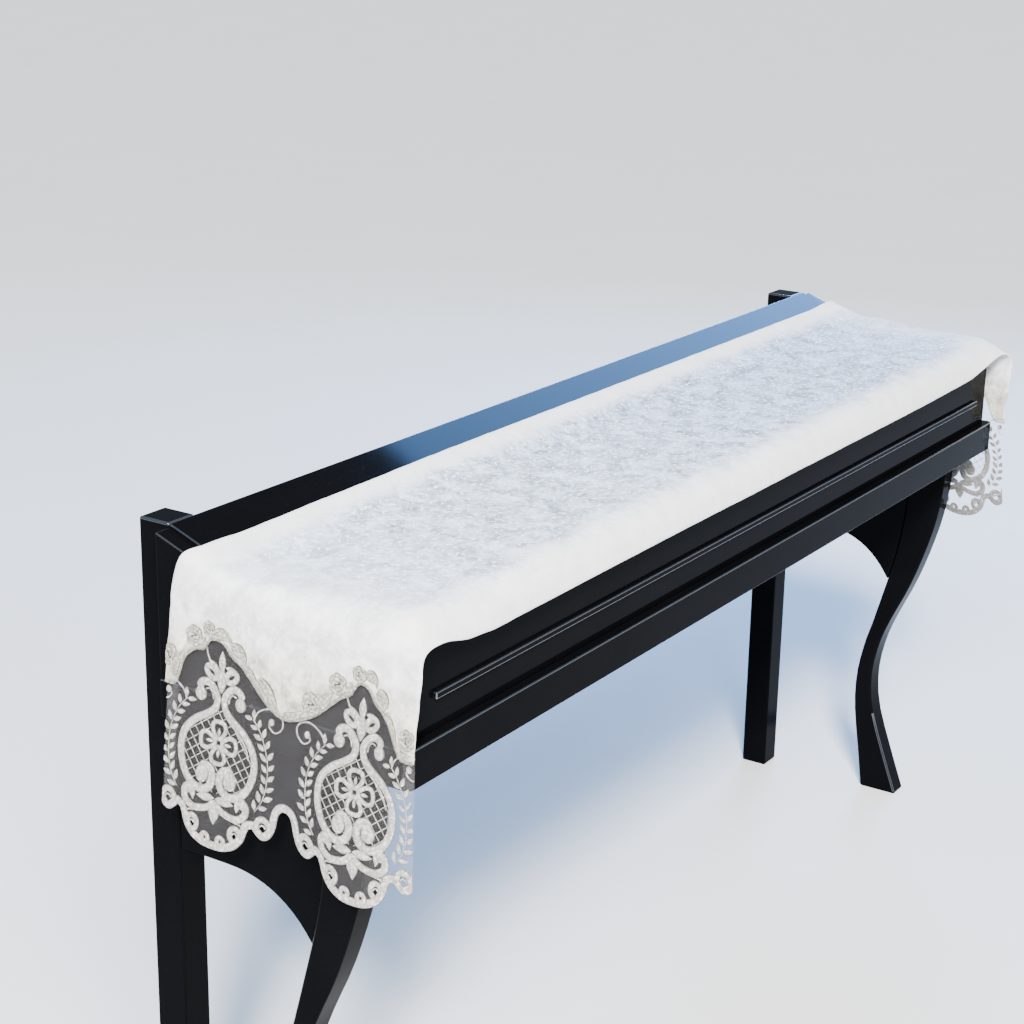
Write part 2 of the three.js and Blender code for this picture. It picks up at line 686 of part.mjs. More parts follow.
// A spray of paired leaves: one outline up the left leaves and down the right ones.
function sprayShape(axis, hand) {
  const line = new THREE.SplineCurve(SPRAY_LINE.map(motifPoint(axis, hand)));
  const flankPoints = (flank) => between(1, 0, SPRAY.pairs, (share) => {
    const root = line.getPointAt(share);
    const tangent = line.getTangentAt(share);
    const upwards = new THREE.Vector2(-tangent.x, -tangent.y);
    const aside = new THREE.Vector2(upwards.y, -upwards.x).multiplyScalar(flank);
    const lean = THREE.MathUtils.degToRad(SPRAY.lean);
    const notch = root.clone().addScaledVector(aside, SPRAY.stem);
    const tip = root.clone()
      .addScaledVector(upwards, SPRAY.length * Math.cos(lean))
      .addScaledVector(aside, SPRAY.length * Math.sin(lean));
    return [notch, tip];
  }).flat();
  return new THREE.Shape([...flankPoints(-1), ...flankPoints(1).reverse()]);
}

function flowerShape(axis) {
  const { petals, pointsPerPetal, reach, waist } = FLOWER;
  const count = petals * pointsPerPetal;
  return new THREE.Shape(between(0, count - 1, count - 1, (step) => {
    const turn = 2 * Math.PI * step / count;
    const open = Math.sqrt(Math.abs(Math.cos(turn * petals / 2)));
    const radius = lerp(waist, reach, open);
    return new THREE.Vector2(axis + radius * Math.sin(turn), FLOWER.down + radius * Math.cos(turn));
  }));
}

function motifShapes(axis) {
  const shapes = [flowerShape(axis)];
  for (const hand of [-1, 1]) {
    const at = motifPoint(axis, hand);
    for (const band of BANDS) {
      const line = new THREE.SplineCurve(band.line.map(at));
      shapes.push(bandShape(line.getSpacedPoints(band.steps), band.start, band.end));
    }
    const petals = PETALS.filter((row) => row.out || hand > 0);
    shapes.push(
      sprayShape(axis, hand),
      ...EYELETS.map((row) => eyeletShape(row, at(row))),
      ...OVALS.map((row) => new THREE.Shape(ovalPoints(at(row), row.wide, row.high))),
      ...petals.map((row) => leafShape(at(row), row.length, row.width, hand * row.lean)),
    );
  }
  return shapes;
}

// Hem line across both repeats, from before the back selvage to beyond the front one.
function hemPoints() {
  const mirrored = HEM_LINE.slice(1).reverse().map((row) => ({ out: -row.out, down: row.down }));
  const repeat = [...mirrored, ...HEM_LINE];
  const rows = AXES.flatMap((axis, i) => repeat.slice(i ? 1 : 0).map(motifPoint(axis, 1)));
  return new THREE.SplineCurve(rows).getSpacedPoints(HEM_STEPS);
}

function tulleShape(hem) {
  const top = ARCH_EDGE.map(([across, edge]) => new THREE.Vector2(across, edge - LACE_OVERLAP)).reverse();
  const inside = hem.filter((point) => point.x > PIECE_GAP && point.x < COVER_WIDTH - PIECE_GAP);
  const first = new THREE.Vector2(0, inside[0].y);
  const last = new THREE.Vector2(COVER_WIDTH, inside[inside.length - 1].y);
  return new THREE.Shape([first, ...inside, last, ...top]);
}

function solidOf(shape, from, to) {
  const geometry = new THREE.ExtrudeGeometry(shape, { depth: to - from, bevelEnabled: false });
  geometry.translate(0, 0, from);
  geometry.deleteAttribute('normal');
  geometry.deleteAttribute('uv');
  const merged = mergeVertices(geometry);
  return new wasm.Manifold(new wasm.Mesh({
    numProp: 3,
    vertProperties: new Float32Array(merged.getAttribute('position').array),
    triVerts: new Uint32Array(merged.getIndex().array),
  }));
}

// The lace lying flat: tulle with raised embroidery, trimmed at the selvages, pierced at the eyelets.
function flatLace() {
  const hem = hemPoints();
  const root = TULLE / 2;
  const proud = TULLE + RELIEF;
  const shapes = [bandShape(hem, BRAID_WIDTH, BRAID_WIDTH), ...AXES.flatMap(motifShapes)];
  const stitched = shapes.map((shape) => solidOf(shape, root, proud));
  const raised = stitched.reduce((whole, piece) => whole.add(piece));
  const depth = DROP.length * 2;
  const strip = solidOf(rectangle(0, 0, COVER_WIDTH, depth), -depth, depth);
  let lace = solidOf(tulleShape(hem), 0, TULLE).add(raised.intersect(strip));
  for (const axis of AXES) {
    for (const hand of [-1, 1]) {
      for (const row of EYELETS) {
        const centre = motifPoint(axis, hand)(row);
        const hole = new THREE.Shape(ovalPoints(centre, row.holeWide, row.holeHigh));
        lace = lace.subtract(solidOf(hole, -proud, 2 * proud));
      }
    }
  }
  return lace.getMesh();
}

// Splits triangles until no edge is too long to bend with the cloth.
function splitToBend(points, triangles) {
  const middles = new Map();
  const strain = (a, b) => Math.max(
    Math.abs(points[a].x - points[b].x) / BEND_STEP.across,
    Math.abs(points[a].y - points[b].y) / BEND_STEP.down,
  );
  const middleOf = (a, b) => {
    const key = a < b ? `${a}_${b}` : `${b}_${a}`;
    if (!middles.has(key)) {
      middles.set(key, points.push(points[a].clone().lerp(points[b], 0.5)) - 1);
    }
    return middles.get(key);
  };
  const done = [];
  const queue = triangles.slice();
  while (queue.length) {
    const [a, b, c] = queue.pop();
    const turns = [[a, b, c], [b, c, a], [c, a, b]];
    const [from, to, far] = turns.reduce((worst, turn) => (
      strain(turn[0], turn[1]) > strain(worst[0], worst[1]) ? turn : worst
    ));
    if (strain(from, to) <= 1) {
      done.push([a, b, c]);
    } else {
      const middle = middleOf(from, to);
      queue.push([from, middle, far], [middle, to, far]);
    }
  }
  return done;
}

// Vertices that fall on the same fine step become one, and triangles without an area go.
function weld(mesh) {
  const points = [];
  const places = new Map();
  const renamed = [];
  for (let i = 0; i < mesh.vertProperties.length; i += mesh.numProp) {
    const steps = Array.from(mesh.vertProperties.slice(i, i + 3), (value) => Math.round(value / WELD_STEP));
    const key = steps.join();
    if (!places.has(key)) {
      places.set(key, points.push(new THREE.Vector3(...steps).multiplyScalar(WELD_STEP)) - 1);
    }
    renamed.push(places.get(key));
  }
  const triangles = [];
  for (let i = 0; i < mesh.triVerts.length; i += 3) {
    const corners = Array.from(mesh.triVerts.slice(i, i + 3), (vertex) => renamed[vertex]);
    if (new Set(corners).size === 3) {
      triangles.push(corners);
    }
  }
  return { points, triangles };
}

function laceEnd(side, name, flat) {
  const { points, triangles } = weld(flat);
  const split = splitToBend(points, triangles);
  const positions = points.flatMap((point) => raisedPoint(
    dropAlong(side, point.y),
    point.x,
    point.z - TULLE - SEAM_GAP,
  ).toArray());
  const geometry = new THREE.BufferGeometry();
  geometry.setAttribute('position', new THREE.Float32BufferAttribute(positions, 3));
  geometry.setIndex(split.flat());
  return namedMesh(name, side < 0 ? turnInsideOut(geometry) : geometry, laceCloth());
}

const shelf = new THREE.Group();
shelf.add(keyLid(), backStrip(), frontRail(), railBead(), keyBed(), backRail());
const cover = new THREE.Group();
cover.add(velvetPanel());
const flat = flatLace();
for (const [side, word] of [[-1, 'left'], [1, 'right']]) {
  shelf.add(
    cheek(side, `cheek_${word}`),
    rearPost(side, `rear_post_${word}`),
    frontLeg(side, `front_leg_${word}`),
    legBracket(side, `leg_bracket_${word}`),
  );
  cover.add(laceEnd(side, `lace_end_${word}`, flat), rosetteBorder(side, `rosette_border_${word}`));
}

// The whole part stands on the floor, with its origin under the middle of its box.
const part = new THREE.Group();
part.add(shelf, cover);
const middle = new THREE.Box3().setFromObject(part, true).getCenter(new THREE.Vector3());
for (const group of [shelf, cover]) {
  group.position.set(-middle.x, -middle.y, LID_UNDERSIDE_HEIGHT);
}

export default part;
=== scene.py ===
"""A piano keyboard cover: an ivory velvet runner with rosette trim and embroidered tulle ends.

It lies over a black key shelf, which gives the frame: millimetres along the keys, back from the front
rail's face and up from the key lid's underside. The cloth is worked flat and then draped. A point of the
runner is (along, across, height) and a point of a lace end is (across, down, height), where across runs
from the back selvage to the front one and down from the end of the fold over the lid's end.
"""
import math
from types import SimpleNamespace as Sizes

import bmesh
import bpy
import numpy as np
from mathutils import Matrix, Vector, noise
from mathutils.geometry import delaunay_2d_cdt


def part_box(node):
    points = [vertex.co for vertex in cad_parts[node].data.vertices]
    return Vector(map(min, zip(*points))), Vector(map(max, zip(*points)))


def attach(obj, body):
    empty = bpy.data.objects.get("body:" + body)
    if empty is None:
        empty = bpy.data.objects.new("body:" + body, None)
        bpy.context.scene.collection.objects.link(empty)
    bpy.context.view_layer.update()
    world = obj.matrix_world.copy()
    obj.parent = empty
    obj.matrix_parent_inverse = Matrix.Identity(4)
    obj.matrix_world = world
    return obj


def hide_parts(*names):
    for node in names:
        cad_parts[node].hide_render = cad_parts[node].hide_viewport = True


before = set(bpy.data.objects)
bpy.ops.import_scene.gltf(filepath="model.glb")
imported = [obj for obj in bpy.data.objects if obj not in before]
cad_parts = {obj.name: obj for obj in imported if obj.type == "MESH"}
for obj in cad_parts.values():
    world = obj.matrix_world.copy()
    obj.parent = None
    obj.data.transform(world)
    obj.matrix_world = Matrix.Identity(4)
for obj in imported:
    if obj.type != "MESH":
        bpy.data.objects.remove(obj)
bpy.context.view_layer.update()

MM = 0.001
LEFT = -1
RIGHT = 1
SIDE_NAMES = {LEFT: "left", RIGHT: "right"}

# The key shelf's lid, and the strip behind it that slopes up to the back.
LID = Sizes(top=34, flat_back=214, nose_start=16, nose_reach=30, nose_fall=26)
STRIP = Sizes(back=312, height=70)

# How the cloth lies over the lid: its section from the strip to the edge that hangs in front.
COVER_WIDTH = 322
CLOTH_CLEARANCE = 0.5
EDGE_CLEARANCE = 3.2
BRIDGE = Sizes(reach=28, share_on_strip=0.36, share_on_lid=0.06)
HANG = Sizes(start=14, end=56, swing=0.8)
SECTION = Sizes(slope=4, flat=5, nose=6, nose_from=0.15, hanging=3)
BACK_SELVAGE = 40

# The fold over the lid's ends, and the drops below it.
FOLD_START = 733
FOLD_RADIUS = 36
FOLD_LENGTH = FOLD_RADIUS * math.pi / 2
DROP_START = FOLD_START + FOLD_LENGTH
DROP = Sizes(length=276, back=290, start_back=4, start_front=-7, flare=22, flare_power=1.25)
# The front corner starts to turn down before the fold: from where along and across it, and how much.
CORNER = Sizes(start=620, across=236, share=0.55)

# The cloth lies a little askew: places along it, and how far its back and its front selvage have
# slipped forwards there.
BACK_SLIPS = [(-733, 12), (-702, 11), (-640, 10.3), (-540, 8.4), (-300, 5.5), (400, 5.5), (733, 5.5)]
FRONT_SLIPS = [(-733, 9.5), (-702, 10.5), (-640, 2.2), (-540, 1.2), (-300, 0.2), (400, 0.4), (733, -2.5)]
# The fold is tight on the cheek at the back and round in front: the power of its superellipse, and where
# across the cloth it changes.
FULLNESS = Sizes(back=6.0, front=2.0, start=85, end=170)
# How far round a tight fold the cloth starts to fall and to swing into the line of the drop.
FOLD_WAIT = Sizes(fall=28, swing=10)
# Low swells: along, across, height, reach along, reach across.
SWELLS = [(-560, 60, 2.4, 120, 34), (-250, 250, 1.5, 190, 30), (130, 70, 1.8, 210, 30),
          (470, 240, 1.4, 160, 34), (700, 92, 3.0, 90, 30)]
# The cloth lifts a little towards the fold.
FOLD_LIFT = Sizes(start=680, height=2.8)
# The drops' upright waves: length, depth, phase.
WAVES = {LEFT: [(210, 3.6, 0.6), (124, 1.0, 2.1)], RIGHT: [(190, 4.0, 2.4), (131, 1.1, 0.3)]}

# The lace's repeats: how far apart they lie, and their axes. The outer two lie beyond the selvages.
REPEAT = 180
AXES = [-110 + REPEAT * repeat for repeat in range(4)]

# How far forward a drop sways: the place down it, then the sway at the back selvage, at the axes of both
# inner repeats and at the front selvage.
SWAYS = [(0, 6, 4, 3.5, 0), (30, 4, 4, 4, -2.5), (62, 1, 4, 3, -5), (95, 0, 3.5, 1.5, -6.5),
         (140, 0, 2, -1.5, -5.5), (190, 0, -1, -1, -3.5), (245, 0, -2, 3.5, 0)]
SWAY_PLACES = [0, AXES[1], AXES[2], COVER_WIDTH]

# The velvet's thickness, and the columns and rows of its mesh.
VELVET = 1.8
VELVET_COLUMNS = 65
LID_ROWS = 246
FOLD_ROWS = 25
DROP_ROWS = 30
# Its arched edge as (across, down), evened out over a few places beside each spot.
ARCH_EDGE = [(0, 91), (14, 90.5), (17.5, 81), (18.5, 70.5), (21.5, 61), (27, 53.5), (36, 46), (48.5, 43.8),
             (51.5, 38), (54, 32), (62, 29.6), (70, 29.8), (77, 33), (82.5, 41.5), (90, 45.9), (98, 49.5),
             (106.5, 57.8), (125.2, 76), (134.7, 83.7), (145.3, 89.3), (157, 90.6), (168.5, 88), (180, 83.2),
             (195.7, 74), (216.9, 54.7), (226.1, 46.7), (236.5, 42), (240, 32.5), (246.4, 26.6), (254, 27.4),
             (261.6, 33.3), (266.5, 43), (279.6, 50.9), (286.8, 59.8), (300.8, 84.5), (306, 92),
             (COVER_WIDTH, 92)]
ARCH_EVENED = (-2.4, -0.8, 0.8, 2.4)
# Its creases: from (along, across) to (along, across), height and half width.
CREASES = [((-759, 212), (-763, 282), 1.5, 4.0), ((-748, 20), (-700, 46), 1.1, 7.0),
           ((-690, 150), (-560, 176), 0.7, 9.0), ((120, 40), (330, 56), 0.7, 8.0),
           ((708, 120), (752, 190), 1.3, 6.0), ((-838, 60), (-800, 84), 0.9, 5.0)]
# A crease's height falls to the square root of this share at its ends.
CREASE_END = 0.02
# The crushed pile's ups and downs, coarse and fine, and how far they are lifted.
NAP = Sizes(height=0.55, length=26, fine_height=0.28, fine_length=9, lift=0.22)

# The velvet's tints, and where its zones fade in along or across it. The cream tints are its own colour, the
# hem's darker and warmer.
# The blue tints paint a reflection of the sky on the top, darker towards the far end as painted falloff of
# light; the white one paints glints.
VELVET_TINT = Sizes(edge=(0.88, 0.87, 0.85, 1), cool=(0.72, 0.84, 1.0, 1), cooler=(0.54, 0.66, 0.92, 1),
                    drop=(0.87, 0.87, 0.88, 1), hem=(0.77, 0.715, 0.60, 1), fleck=(0.97, 0.985, 1.0, 1))
VELVET_ZONE = Sizes(off_back=(14, 46), off_front=(292, 238), off_ends=(840, 620), wander=22,
                    cooler=(-420, 460), near_end=(430, 690), drop=(745, 800), hem=(800, 850))
# How deep the crushed pile's mottle darkens it: everywhere, much more on the top, where it is partly painted
# sheen, less near the ends as painted light, and more on the drops and at the hem.
VELVET_SHADE = Sizes(least=0.14, middle=0.68, near_end=-0.2, drop=0.3, hem=0.3)
VELVET_MOTTLE = [(0.36, 0), (0.47, 0.35), (0.54, 0.65), (0.64, 1)]
# Painted glints on the pile: their size, where they fade in, and how many, least and on the top.
VELVET_GLINTS = Sizes(size=6, fade=(0.55, 0.64), least=0.16, middle=0.74)

# The tulle: the heights of its face and back, its mesh, and how its selvages are folded back.
TULLE = Sizes(front=-0.7, back=-1.2, step=6.0, hem_step=2.2, hem_clear=1.5, side_clear=0.5, top_points=108,
              hole_points=20, weld=1e-4, overlap=8, folded=14, fold_gap=0.35)
# The kind of triangulation that keeps only what lies inside the outline.
INSIDE_ONLY = 1
# Its net: the cells' width and unevenness, where a thread fades out, and how much of the view it hides,
# which is less inside a medallion.
NET = Sizes(cell=1.5, uneven=0.35, thread=(0.10, 0.045), haze=0.008, cover=0.028, patches=0.018, inside=-0.5)

# The lines of the embroidery as (out from the repeat's axis, down), and the widths of its bands.
HEM = [(0, 257), (15, 255.5), (29, 249), (38.5, 238), (43, 226), (47, 220), (52, 224), (59, 229), (67, 228),
       (74, 221), (78.5, 210), (81, 199), (85, 192.5), (90, 191)]
BRAID = Sizes(width=9, step=3, past_selvage=20)
MEDALLION = [(4.6, 93), (6.5, 103), (16, 112), (31, 122), (43, 136), (47.5, 153), (45, 171), (36, 187),
             (21, 195), (9, 191), (4.6, 180), (8, 170), (15.5, 167.5), (20, 171)]
MEDALLION_WIDTH = (8.4, 9.8)
# The stretch of its line that bounds its inside.
MEDALLION_SIDE = slice(1, 9)
MEDALLION_LINING = [(5, 107.5), (13, 115.5), (25, 124.5), (35, 136.5), (39, 148)]
VOLUTE = [(4.2, 99), (4.6, 91.5), (8.5, 84), (16.5, 78.3), (24.5, 80.3), (28, 87)]
VOLUTE_WIDTH = (8.2, 9.2)
VOLUTE_LINING = [(9.8, 95), (11.2, 88.5), (15.5, 84.9), (20, 86.5)]
SWAG = [(35, 195), (40, 201), (38, 210.5), (28, 216.5), (15, 215), (6.5, 211), (1, 204)]
SWAG_WIDTH = (9.0, 7.6)
SWAG_STEM = [(27, 220.5), (34, 221.5), (38.5, 225), (41, 230)]
SPRAY = [(51, 201), (60, 187), (64.5, 166), (63, 140), (54, 117), (43, 103)]
CURL = [(43, 104), (49, 93), (65, 86), (79, 92), (80, 103), (71, 110), (63, 104.5), (66, 98.5)]
CAP_STEM = [(20.5, 42), (19.5, 48), (15.5, 56)]
# Ringed eyelets: out, down, ring's half width and height, hole's half width and height.
EYELETS = [(62, 216, 12, 12.5, 4.2, 5.6), (28, 234, 10, 10.5, 3.2, 4.6)]
# The bar over an eyelet, in shares of the hole's half sizes.
TONGUE = [(-0.95, 0.05), (-0.55, -0.42), (0, -0.55), (0.55, -0.42), (0.95, 0.05)]
TONGUE_WIDTH = 1.7
# Rings with a small eye, the same way, and their turn from upright in degrees.
RINGS = [(10, 246, 7, 7, 1.3, 1.6, 0), (12.8, 66.5, 8.4, 11, 1.5, 4.4, -54)]
# Ovals: out, down, half length, half width, turn from upright.
OVALS = [(25.6, 92.6, 7.4, 7.2, 0), (18, 178, 9.8, 8.8, -12), (66.5, 99.5, 3.8, 3.6, 0),
         (34.6, 197, 6.6, 5.8, 0)]
# Leaves: out, down, length, width, turn from straight down.
LEAVES = [(0, 87, 31, 12, 180), (0, 64, 23, 9.6, 180), (0, 202, 28, 15, 0), (0.5, 201, 24, 10, 86),
          (31, 192.5, 17, 8.5, -10)]
# The leaf on a crown's bud, towards the back selvage and towards the front one.
CAP_LEAVES = {LEFT: (17.5, 54, 20, 6.4, -56), RIGHT: (4.5, 57.5, 16, 6, 84)}
FLOWER = Sizes(down=140, petals=4, band=5.0, seed_start=7, seed_end=16.5, seed_width=4.0, ring=5.4,
               ring_band=2.2)
# Half a petal: out from the flower's middle, and to the side.
PETAL = [(5.2, 2.2), (11, 7.0), (16.5, 8.6), (21.4, 6.4), (22.8, 0)]
LATTICE = Sizes(pitch=9.0, radius=0.42, sides=6, turn=math.radians(8), clear=14, clear_petal=9, reach=90,
                step=0.5, rows=10, shortest=6)
# Laid threads, and the stem of a spray with its leaves, whose size falls to the share tip at its end.
THREAD = Sizes(radius=0.75, sides=7, step=2, lining_step=3)
STEM = Sizes(radius=0.45, sides=6, step=1.1)
SPRAY_LEAF = Sizes(length=12.2, width=6.1, pitch=11, lean=math.radians(43), tip=0.85, off_stem=1.7,
                   turn_spread=0.09, size_spread=0.08, seed=4)
# A stitched band: its heights, the points round and along it, and how far it is tucked under the velvet.
STITCH = Sizes(rise=1.5, bud_rise=2.1, back=0.35, base=-0.75, full=0.7, ring=10, step=1.7, fewest=8,
               loop_points=12, tuck=2, under_velvet=-0.25)
# The shares left off at a band's tips, the power that moves a leaf's widest place towards its root, and
# how many points a round cap has.
BAND_END = Sizes(leaf=0.015, leaf_skew=0.87, oval=0.06, cap=0.12, cap_points=5)
# How deep a band is grooved along its middle, and the groove's share of its half width.
GROOVE = Sizes(medallion=0.12, ring=0.18, leaf=0.4, spray_leaf=0.3, braid=0.35, feather=0.3, share=0.3)
# A wave texture of scale 1 repeats after this many units.
WAVE_LENGTH = 0.314

# The trim along the velvet's arched edge: roses as across, down, radius and turn.
ROSES = [(4.5, 61, 13, 0.4), (35, 32.5, 12.5, 1.9), (54.3, 20.5, 9.4, 3.0), (188.5, 65, 13.5, 2.2),
         (220, 35, 12.5, 5.1), (246, 18, 9.6, 0.9), (312.5, 69.5, 12, 4.0)]
# Its feathers: a line from head to tail, and the width.
FEATHERS = [([(11, 84), (13, 71), (17, 59), (24, 49)], 9),
            ([(41, 43), (46, 39.5), (48.5, 34), (50, 28)], 8),
            ([(60.5, 27), (68.5, 22.5), (79, 24.5), (87, 33)], 13),
            ([(82, 34), (91, 33.5), (99, 40), (103, 50)], 14),
            ([(103, 47), (109, 54), (116, 62), (122, 69)], 8),
            ([(119, 56), (127, 64), (136, 75), (149, 87)], 17),
            ([(152, 85), (163, 84.5), (175, 79), (184, 71)], 8),
            ([(197, 66), (205, 57), (211, 50), (216, 43)], 12),
            ([(253, 19), (260, 16), (266, 21), (268, 28)], 12),
            ([(268, 29), (276, 34), (280, 42), (279, 49)], 14),
            ([(282, 47), (289, 56), (295, 67), (301, 79)], 7),
            ([(229, 43), (234, 38), (236.5, 31), (241, 25)], 8),
            ([(303, 82), (308, 86.5), (314, 86), (320, 84)], 8)]
FEATHER = Sizes(strokes=(-0.3, 0.3, 0.0), lengths=(0.86, 0.78, 1.0), width=0.46, rise=1.9, points=8,
                taper=(0.2, 0.9))
TRIM = Sizes(radius=13, dome=1.2, base=2.0, segments=24, petal_points=6)
# A rose's dome from its rim inwards, in shares of the radius and of the dome's height.
ROSE_DOME = [(0.80, -0.25), (0.84, 0.25), (0.78, 0.7), (0.6, 0.95), (0.35, 1.0), (0.08, 1.0)]
# A rose's rings of petals: how many, their reach, how far each curls in and sweeps round, and its size.
ROSE_PETALS = [Sizes(count=6, shift=0.0, reach=10.0, curl=2.0, sweep=1.25, width=6.4, rise=1.1, base=0.5),
               Sizes(count=4, shift=0.4, reach=6.2, curl=1.6, sweep=1.75, width=5.2, rise=1.2, base=1.0),
               Sizes(count=2, shift=1.1, reach=2.8, curl=1.4, sweep=2.6, width=4.0, rise=1.3, base=1.3)]
# The whipped stitches over the velvet's edge.
WHIP = Sizes(pitch=1.7, length=4.6, width=1.5, rise=0.8, base=0.2, inset=0.6, lean=math.radians(78),
             turn_spread=0.12, size_spread=0.12, seed=23, edge_points=240, step=2)

# The shelf's boards: node, piece, and how far its edges are rounded. The second list holds those in pairs.
BOARDS = [("key_lid", "lid_board", 1.5), ("lid_back_strip", "sloped_strip", 1.5),
          ("front_rail", "rail_board", 1.2), ("rail_bead", "bead_moulding", 1.5),
          ("key_bed", "bed_board", 1.6), ("back_rail", "back_board", 1.5)]
PAIRED_BOARDS = [("cheek", "cheek", 1.2), ("rear_post", "post", 2.5), ("front_leg", "leg", 4.0),
                 ("leg_bracket", "bracket", 2.0)]
# From which angle an edge is rounded, in how many steps, and what is merged first: points this close in
# millimetres, and faces this nearly flat.
EDGES = Sizes(sharp=math.radians(35), segments=3, weld=0.01, flat=math.radians(0.4))
# A rounded edge gets a painted highlight, a glossier and paler lacquer, where its face looks up by more than
# this, and all over on one piece.
HIGHLIGHT_FACING_UP = 0.2
HIGHLIGHT_ALL_OVER = "bead_moulding"

# The picture: where the lens stands in the shelf's frame, in millimetres, how it is turned, and its focal
# length in pixels of the picture's width.
CAMERA = Sizes(place=(-2256.98, -1106.51, 742.83), yaw=56.729, pitch=17.726, roll=-0.984, focal=2087.66)
IMAGE_WIDTH = 1024
SENSOR = 36
# Its light and floor, with places, aims and sizes in metres.
ROOM = Sizes(tint=(0.64, 0.81, 1.0, 1), strength=0.62)
SUN = Sizes(energy=7.3, spread=math.radians(9), tint=(1.0, 0.975, 0.94), way=(0.70, 0.42, -0.58))
LAMPS = {"key": Sizes(place=(-2.3, -1.5, 2.7), target=(-0.6, 0, 0.7), size=(1.3, 1.3), power=290,
                      tint=(1.0, 0.98, 0.95)),
         "far": Sizes(place=(3.3, 1.05, 2.6), target=(0, 0.1, 0.8), size=(1.0, 1.5), power=210,
                      tint=(0.20, 0.45, 1.0))}
FLOOR_REACH = 60.0


def smooth(t):
    t = np.clip(t, 0, 1)
    return t * t * (3 - 2 * t)


def blend(start, end, share):
    return start + (end - start) * share


class Line:
    """A smooth line through a few points, walked by its length."""

    STEPS = 40

    def __init__(self, points, closed=False):
        points = np.array(points, float)
        if closed:
            guide = np.vstack([points[-1:], points, points[:2]])
        else:
            guide = np.vstack([points[:1], points, points[-1:]])
        t = np.linspace(0, 1, self.STEPS, endpoint=False)[:, None]
        spans = []
        for before, start, end, after in zip(guide, guide[1:], guide[2:], guide[3:]):
            pull = (end - before) / 2
            push = (after - start) / 2
            spans.append((2 * start - 2 * end + pull + push) * t ** 3
                         + (3 * end - 3 * start - 2 * pull - push) * t ** 2 + pull * t + start)
        last = points[:1] if closed else points[-1:]
        self.points = np.vstack(spans + [last])
        steps = np.linalg.norm(np.diff(self.points, axis=0), axis=1)
        self.walk = np.concatenate([[0], np.cumsum(steps)])
        self.length = self.walk[-1]
        self.closed = closed

    def at(self, distance):
        if self.closed:
            distance = np.mod(distance, self.length)
        return np.stack([np.interp(distance, self.walk, column) for column in self.points.T], -1)

    def sideways(self, distance, probe=0.3):
        ahead, behind = distance + probe, distance - probe
        if not self.closed:
            ahead, behind = np.minimum(ahead, self.length), np.maximum(behind, 0)
        way = self.at(ahead) - self.at(behind)
        way = way / np.linalg.norm(way, axis=-1, keepdims=True)
        return np.stack([-way[..., 1], way[..., 0]], -1)

    def spaced(self, step):
        count = max(2, round(self.length / step) + 1)
        return self.at(np.linspace(0, self.length, count))


def cover_section():
    """The cloth's section over the lid, from the strip's back to the edge that hangs in front."""
    slope = (STRIP.height - LID.top) / (STRIP.back - LID.flat_back)
    flat = LID.top + CLOTH_CLEARANCE
    reach = BRIDGE.reach
    points = [(y, flat + slope * (y - LID.flat_back + CLOTH_CLEARANCE))
              for y in np.linspace(STRIP.back, LID.flat_back + reach, SECTION.slope + 1)]
    points.append((LID.flat_back + reach / 4, flat + slope * reach * BRIDGE.share_on_strip))
    points.append((LID.flat_back - reach / 2, flat + slope * reach * BRIDGE.share_on_lid))
    for y in np.linspace(LID.flat_back - reach, LID.nose_start + reach / 2, SECTION.flat + 1):
        points.append((y, flat))
    for share in np.linspace(SECTION.nose_from, 1, SECTION.nose + 1):
        turn = share * math.pi / 2
        clear = blend(CLOTH_CLEARANCE, EDGE_CLEARANCE, math.sqrt(share))
        points.append((LID.nose_start - (LID.nose_reach + clear) * math.sin(turn),
                       LID.top - LID.nose_fall + (LID.nose_fall + clear) * math.cos(turn)))
    front = LID.nose_start - LID.nose_reach - EDGE_CLEARANCE - HANG.swing
    for below in np.linspace(HANG.start, HANG.end, SECTION.hanging + 1):
        points.append((front, LID.top - LID.nose_fall - below))
    return Line(points)


SECTION_LINE = cover_section()


def eased(rows, x):
    """A value read from a table of (place, value), eased between its rows."""
    places, values = np.array(rows, float).T
    after = np.clip(np.searchsorted(places, x), 1, len(places) - 1)
    share = smooth((x - places[after - 1]) / (places[after] - places[after - 1]))
    return blend(values[after - 1], values[after], share)


def swell_at(x, across):
    lift = FOLD_LIFT.height * smooth((np.abs(x) - FOLD_LIFT.start) / (FOLD_START - FOLD_LIFT.start))
    for along_middle, across_middle, height, along_reach, across_reach in SWELLS:
        lift = lift + height * np.exp(-((x - along_middle) / along_reach) ** 2
                                      - ((across - across_middle) / across_reach) ** 2)
    return lift


def waves_at(side, across):
    return sum(depth * np.sin(2 * math.pi * across / length + phase) for length, depth, phase in WAVES[side])


def sway_at(across, down):
    columns = np.stack([eased([(row[0], row[at]) for row in SWAYS], down) for at in range(1, len(SWAYS[0]))])
    places = np.array(SWAY_PLACES)
    after = np.clip(np.searchsorted(places, across), 1, len(places) - 1)
    share = smooth((across - places[after - 1]) / (places[after] - places[after - 1]))
    return blend(np.take_along_axis(columns, after[None] - 1, 0)[0],
                 np.take_along_axis(columns, after[None], 0)[0], share)


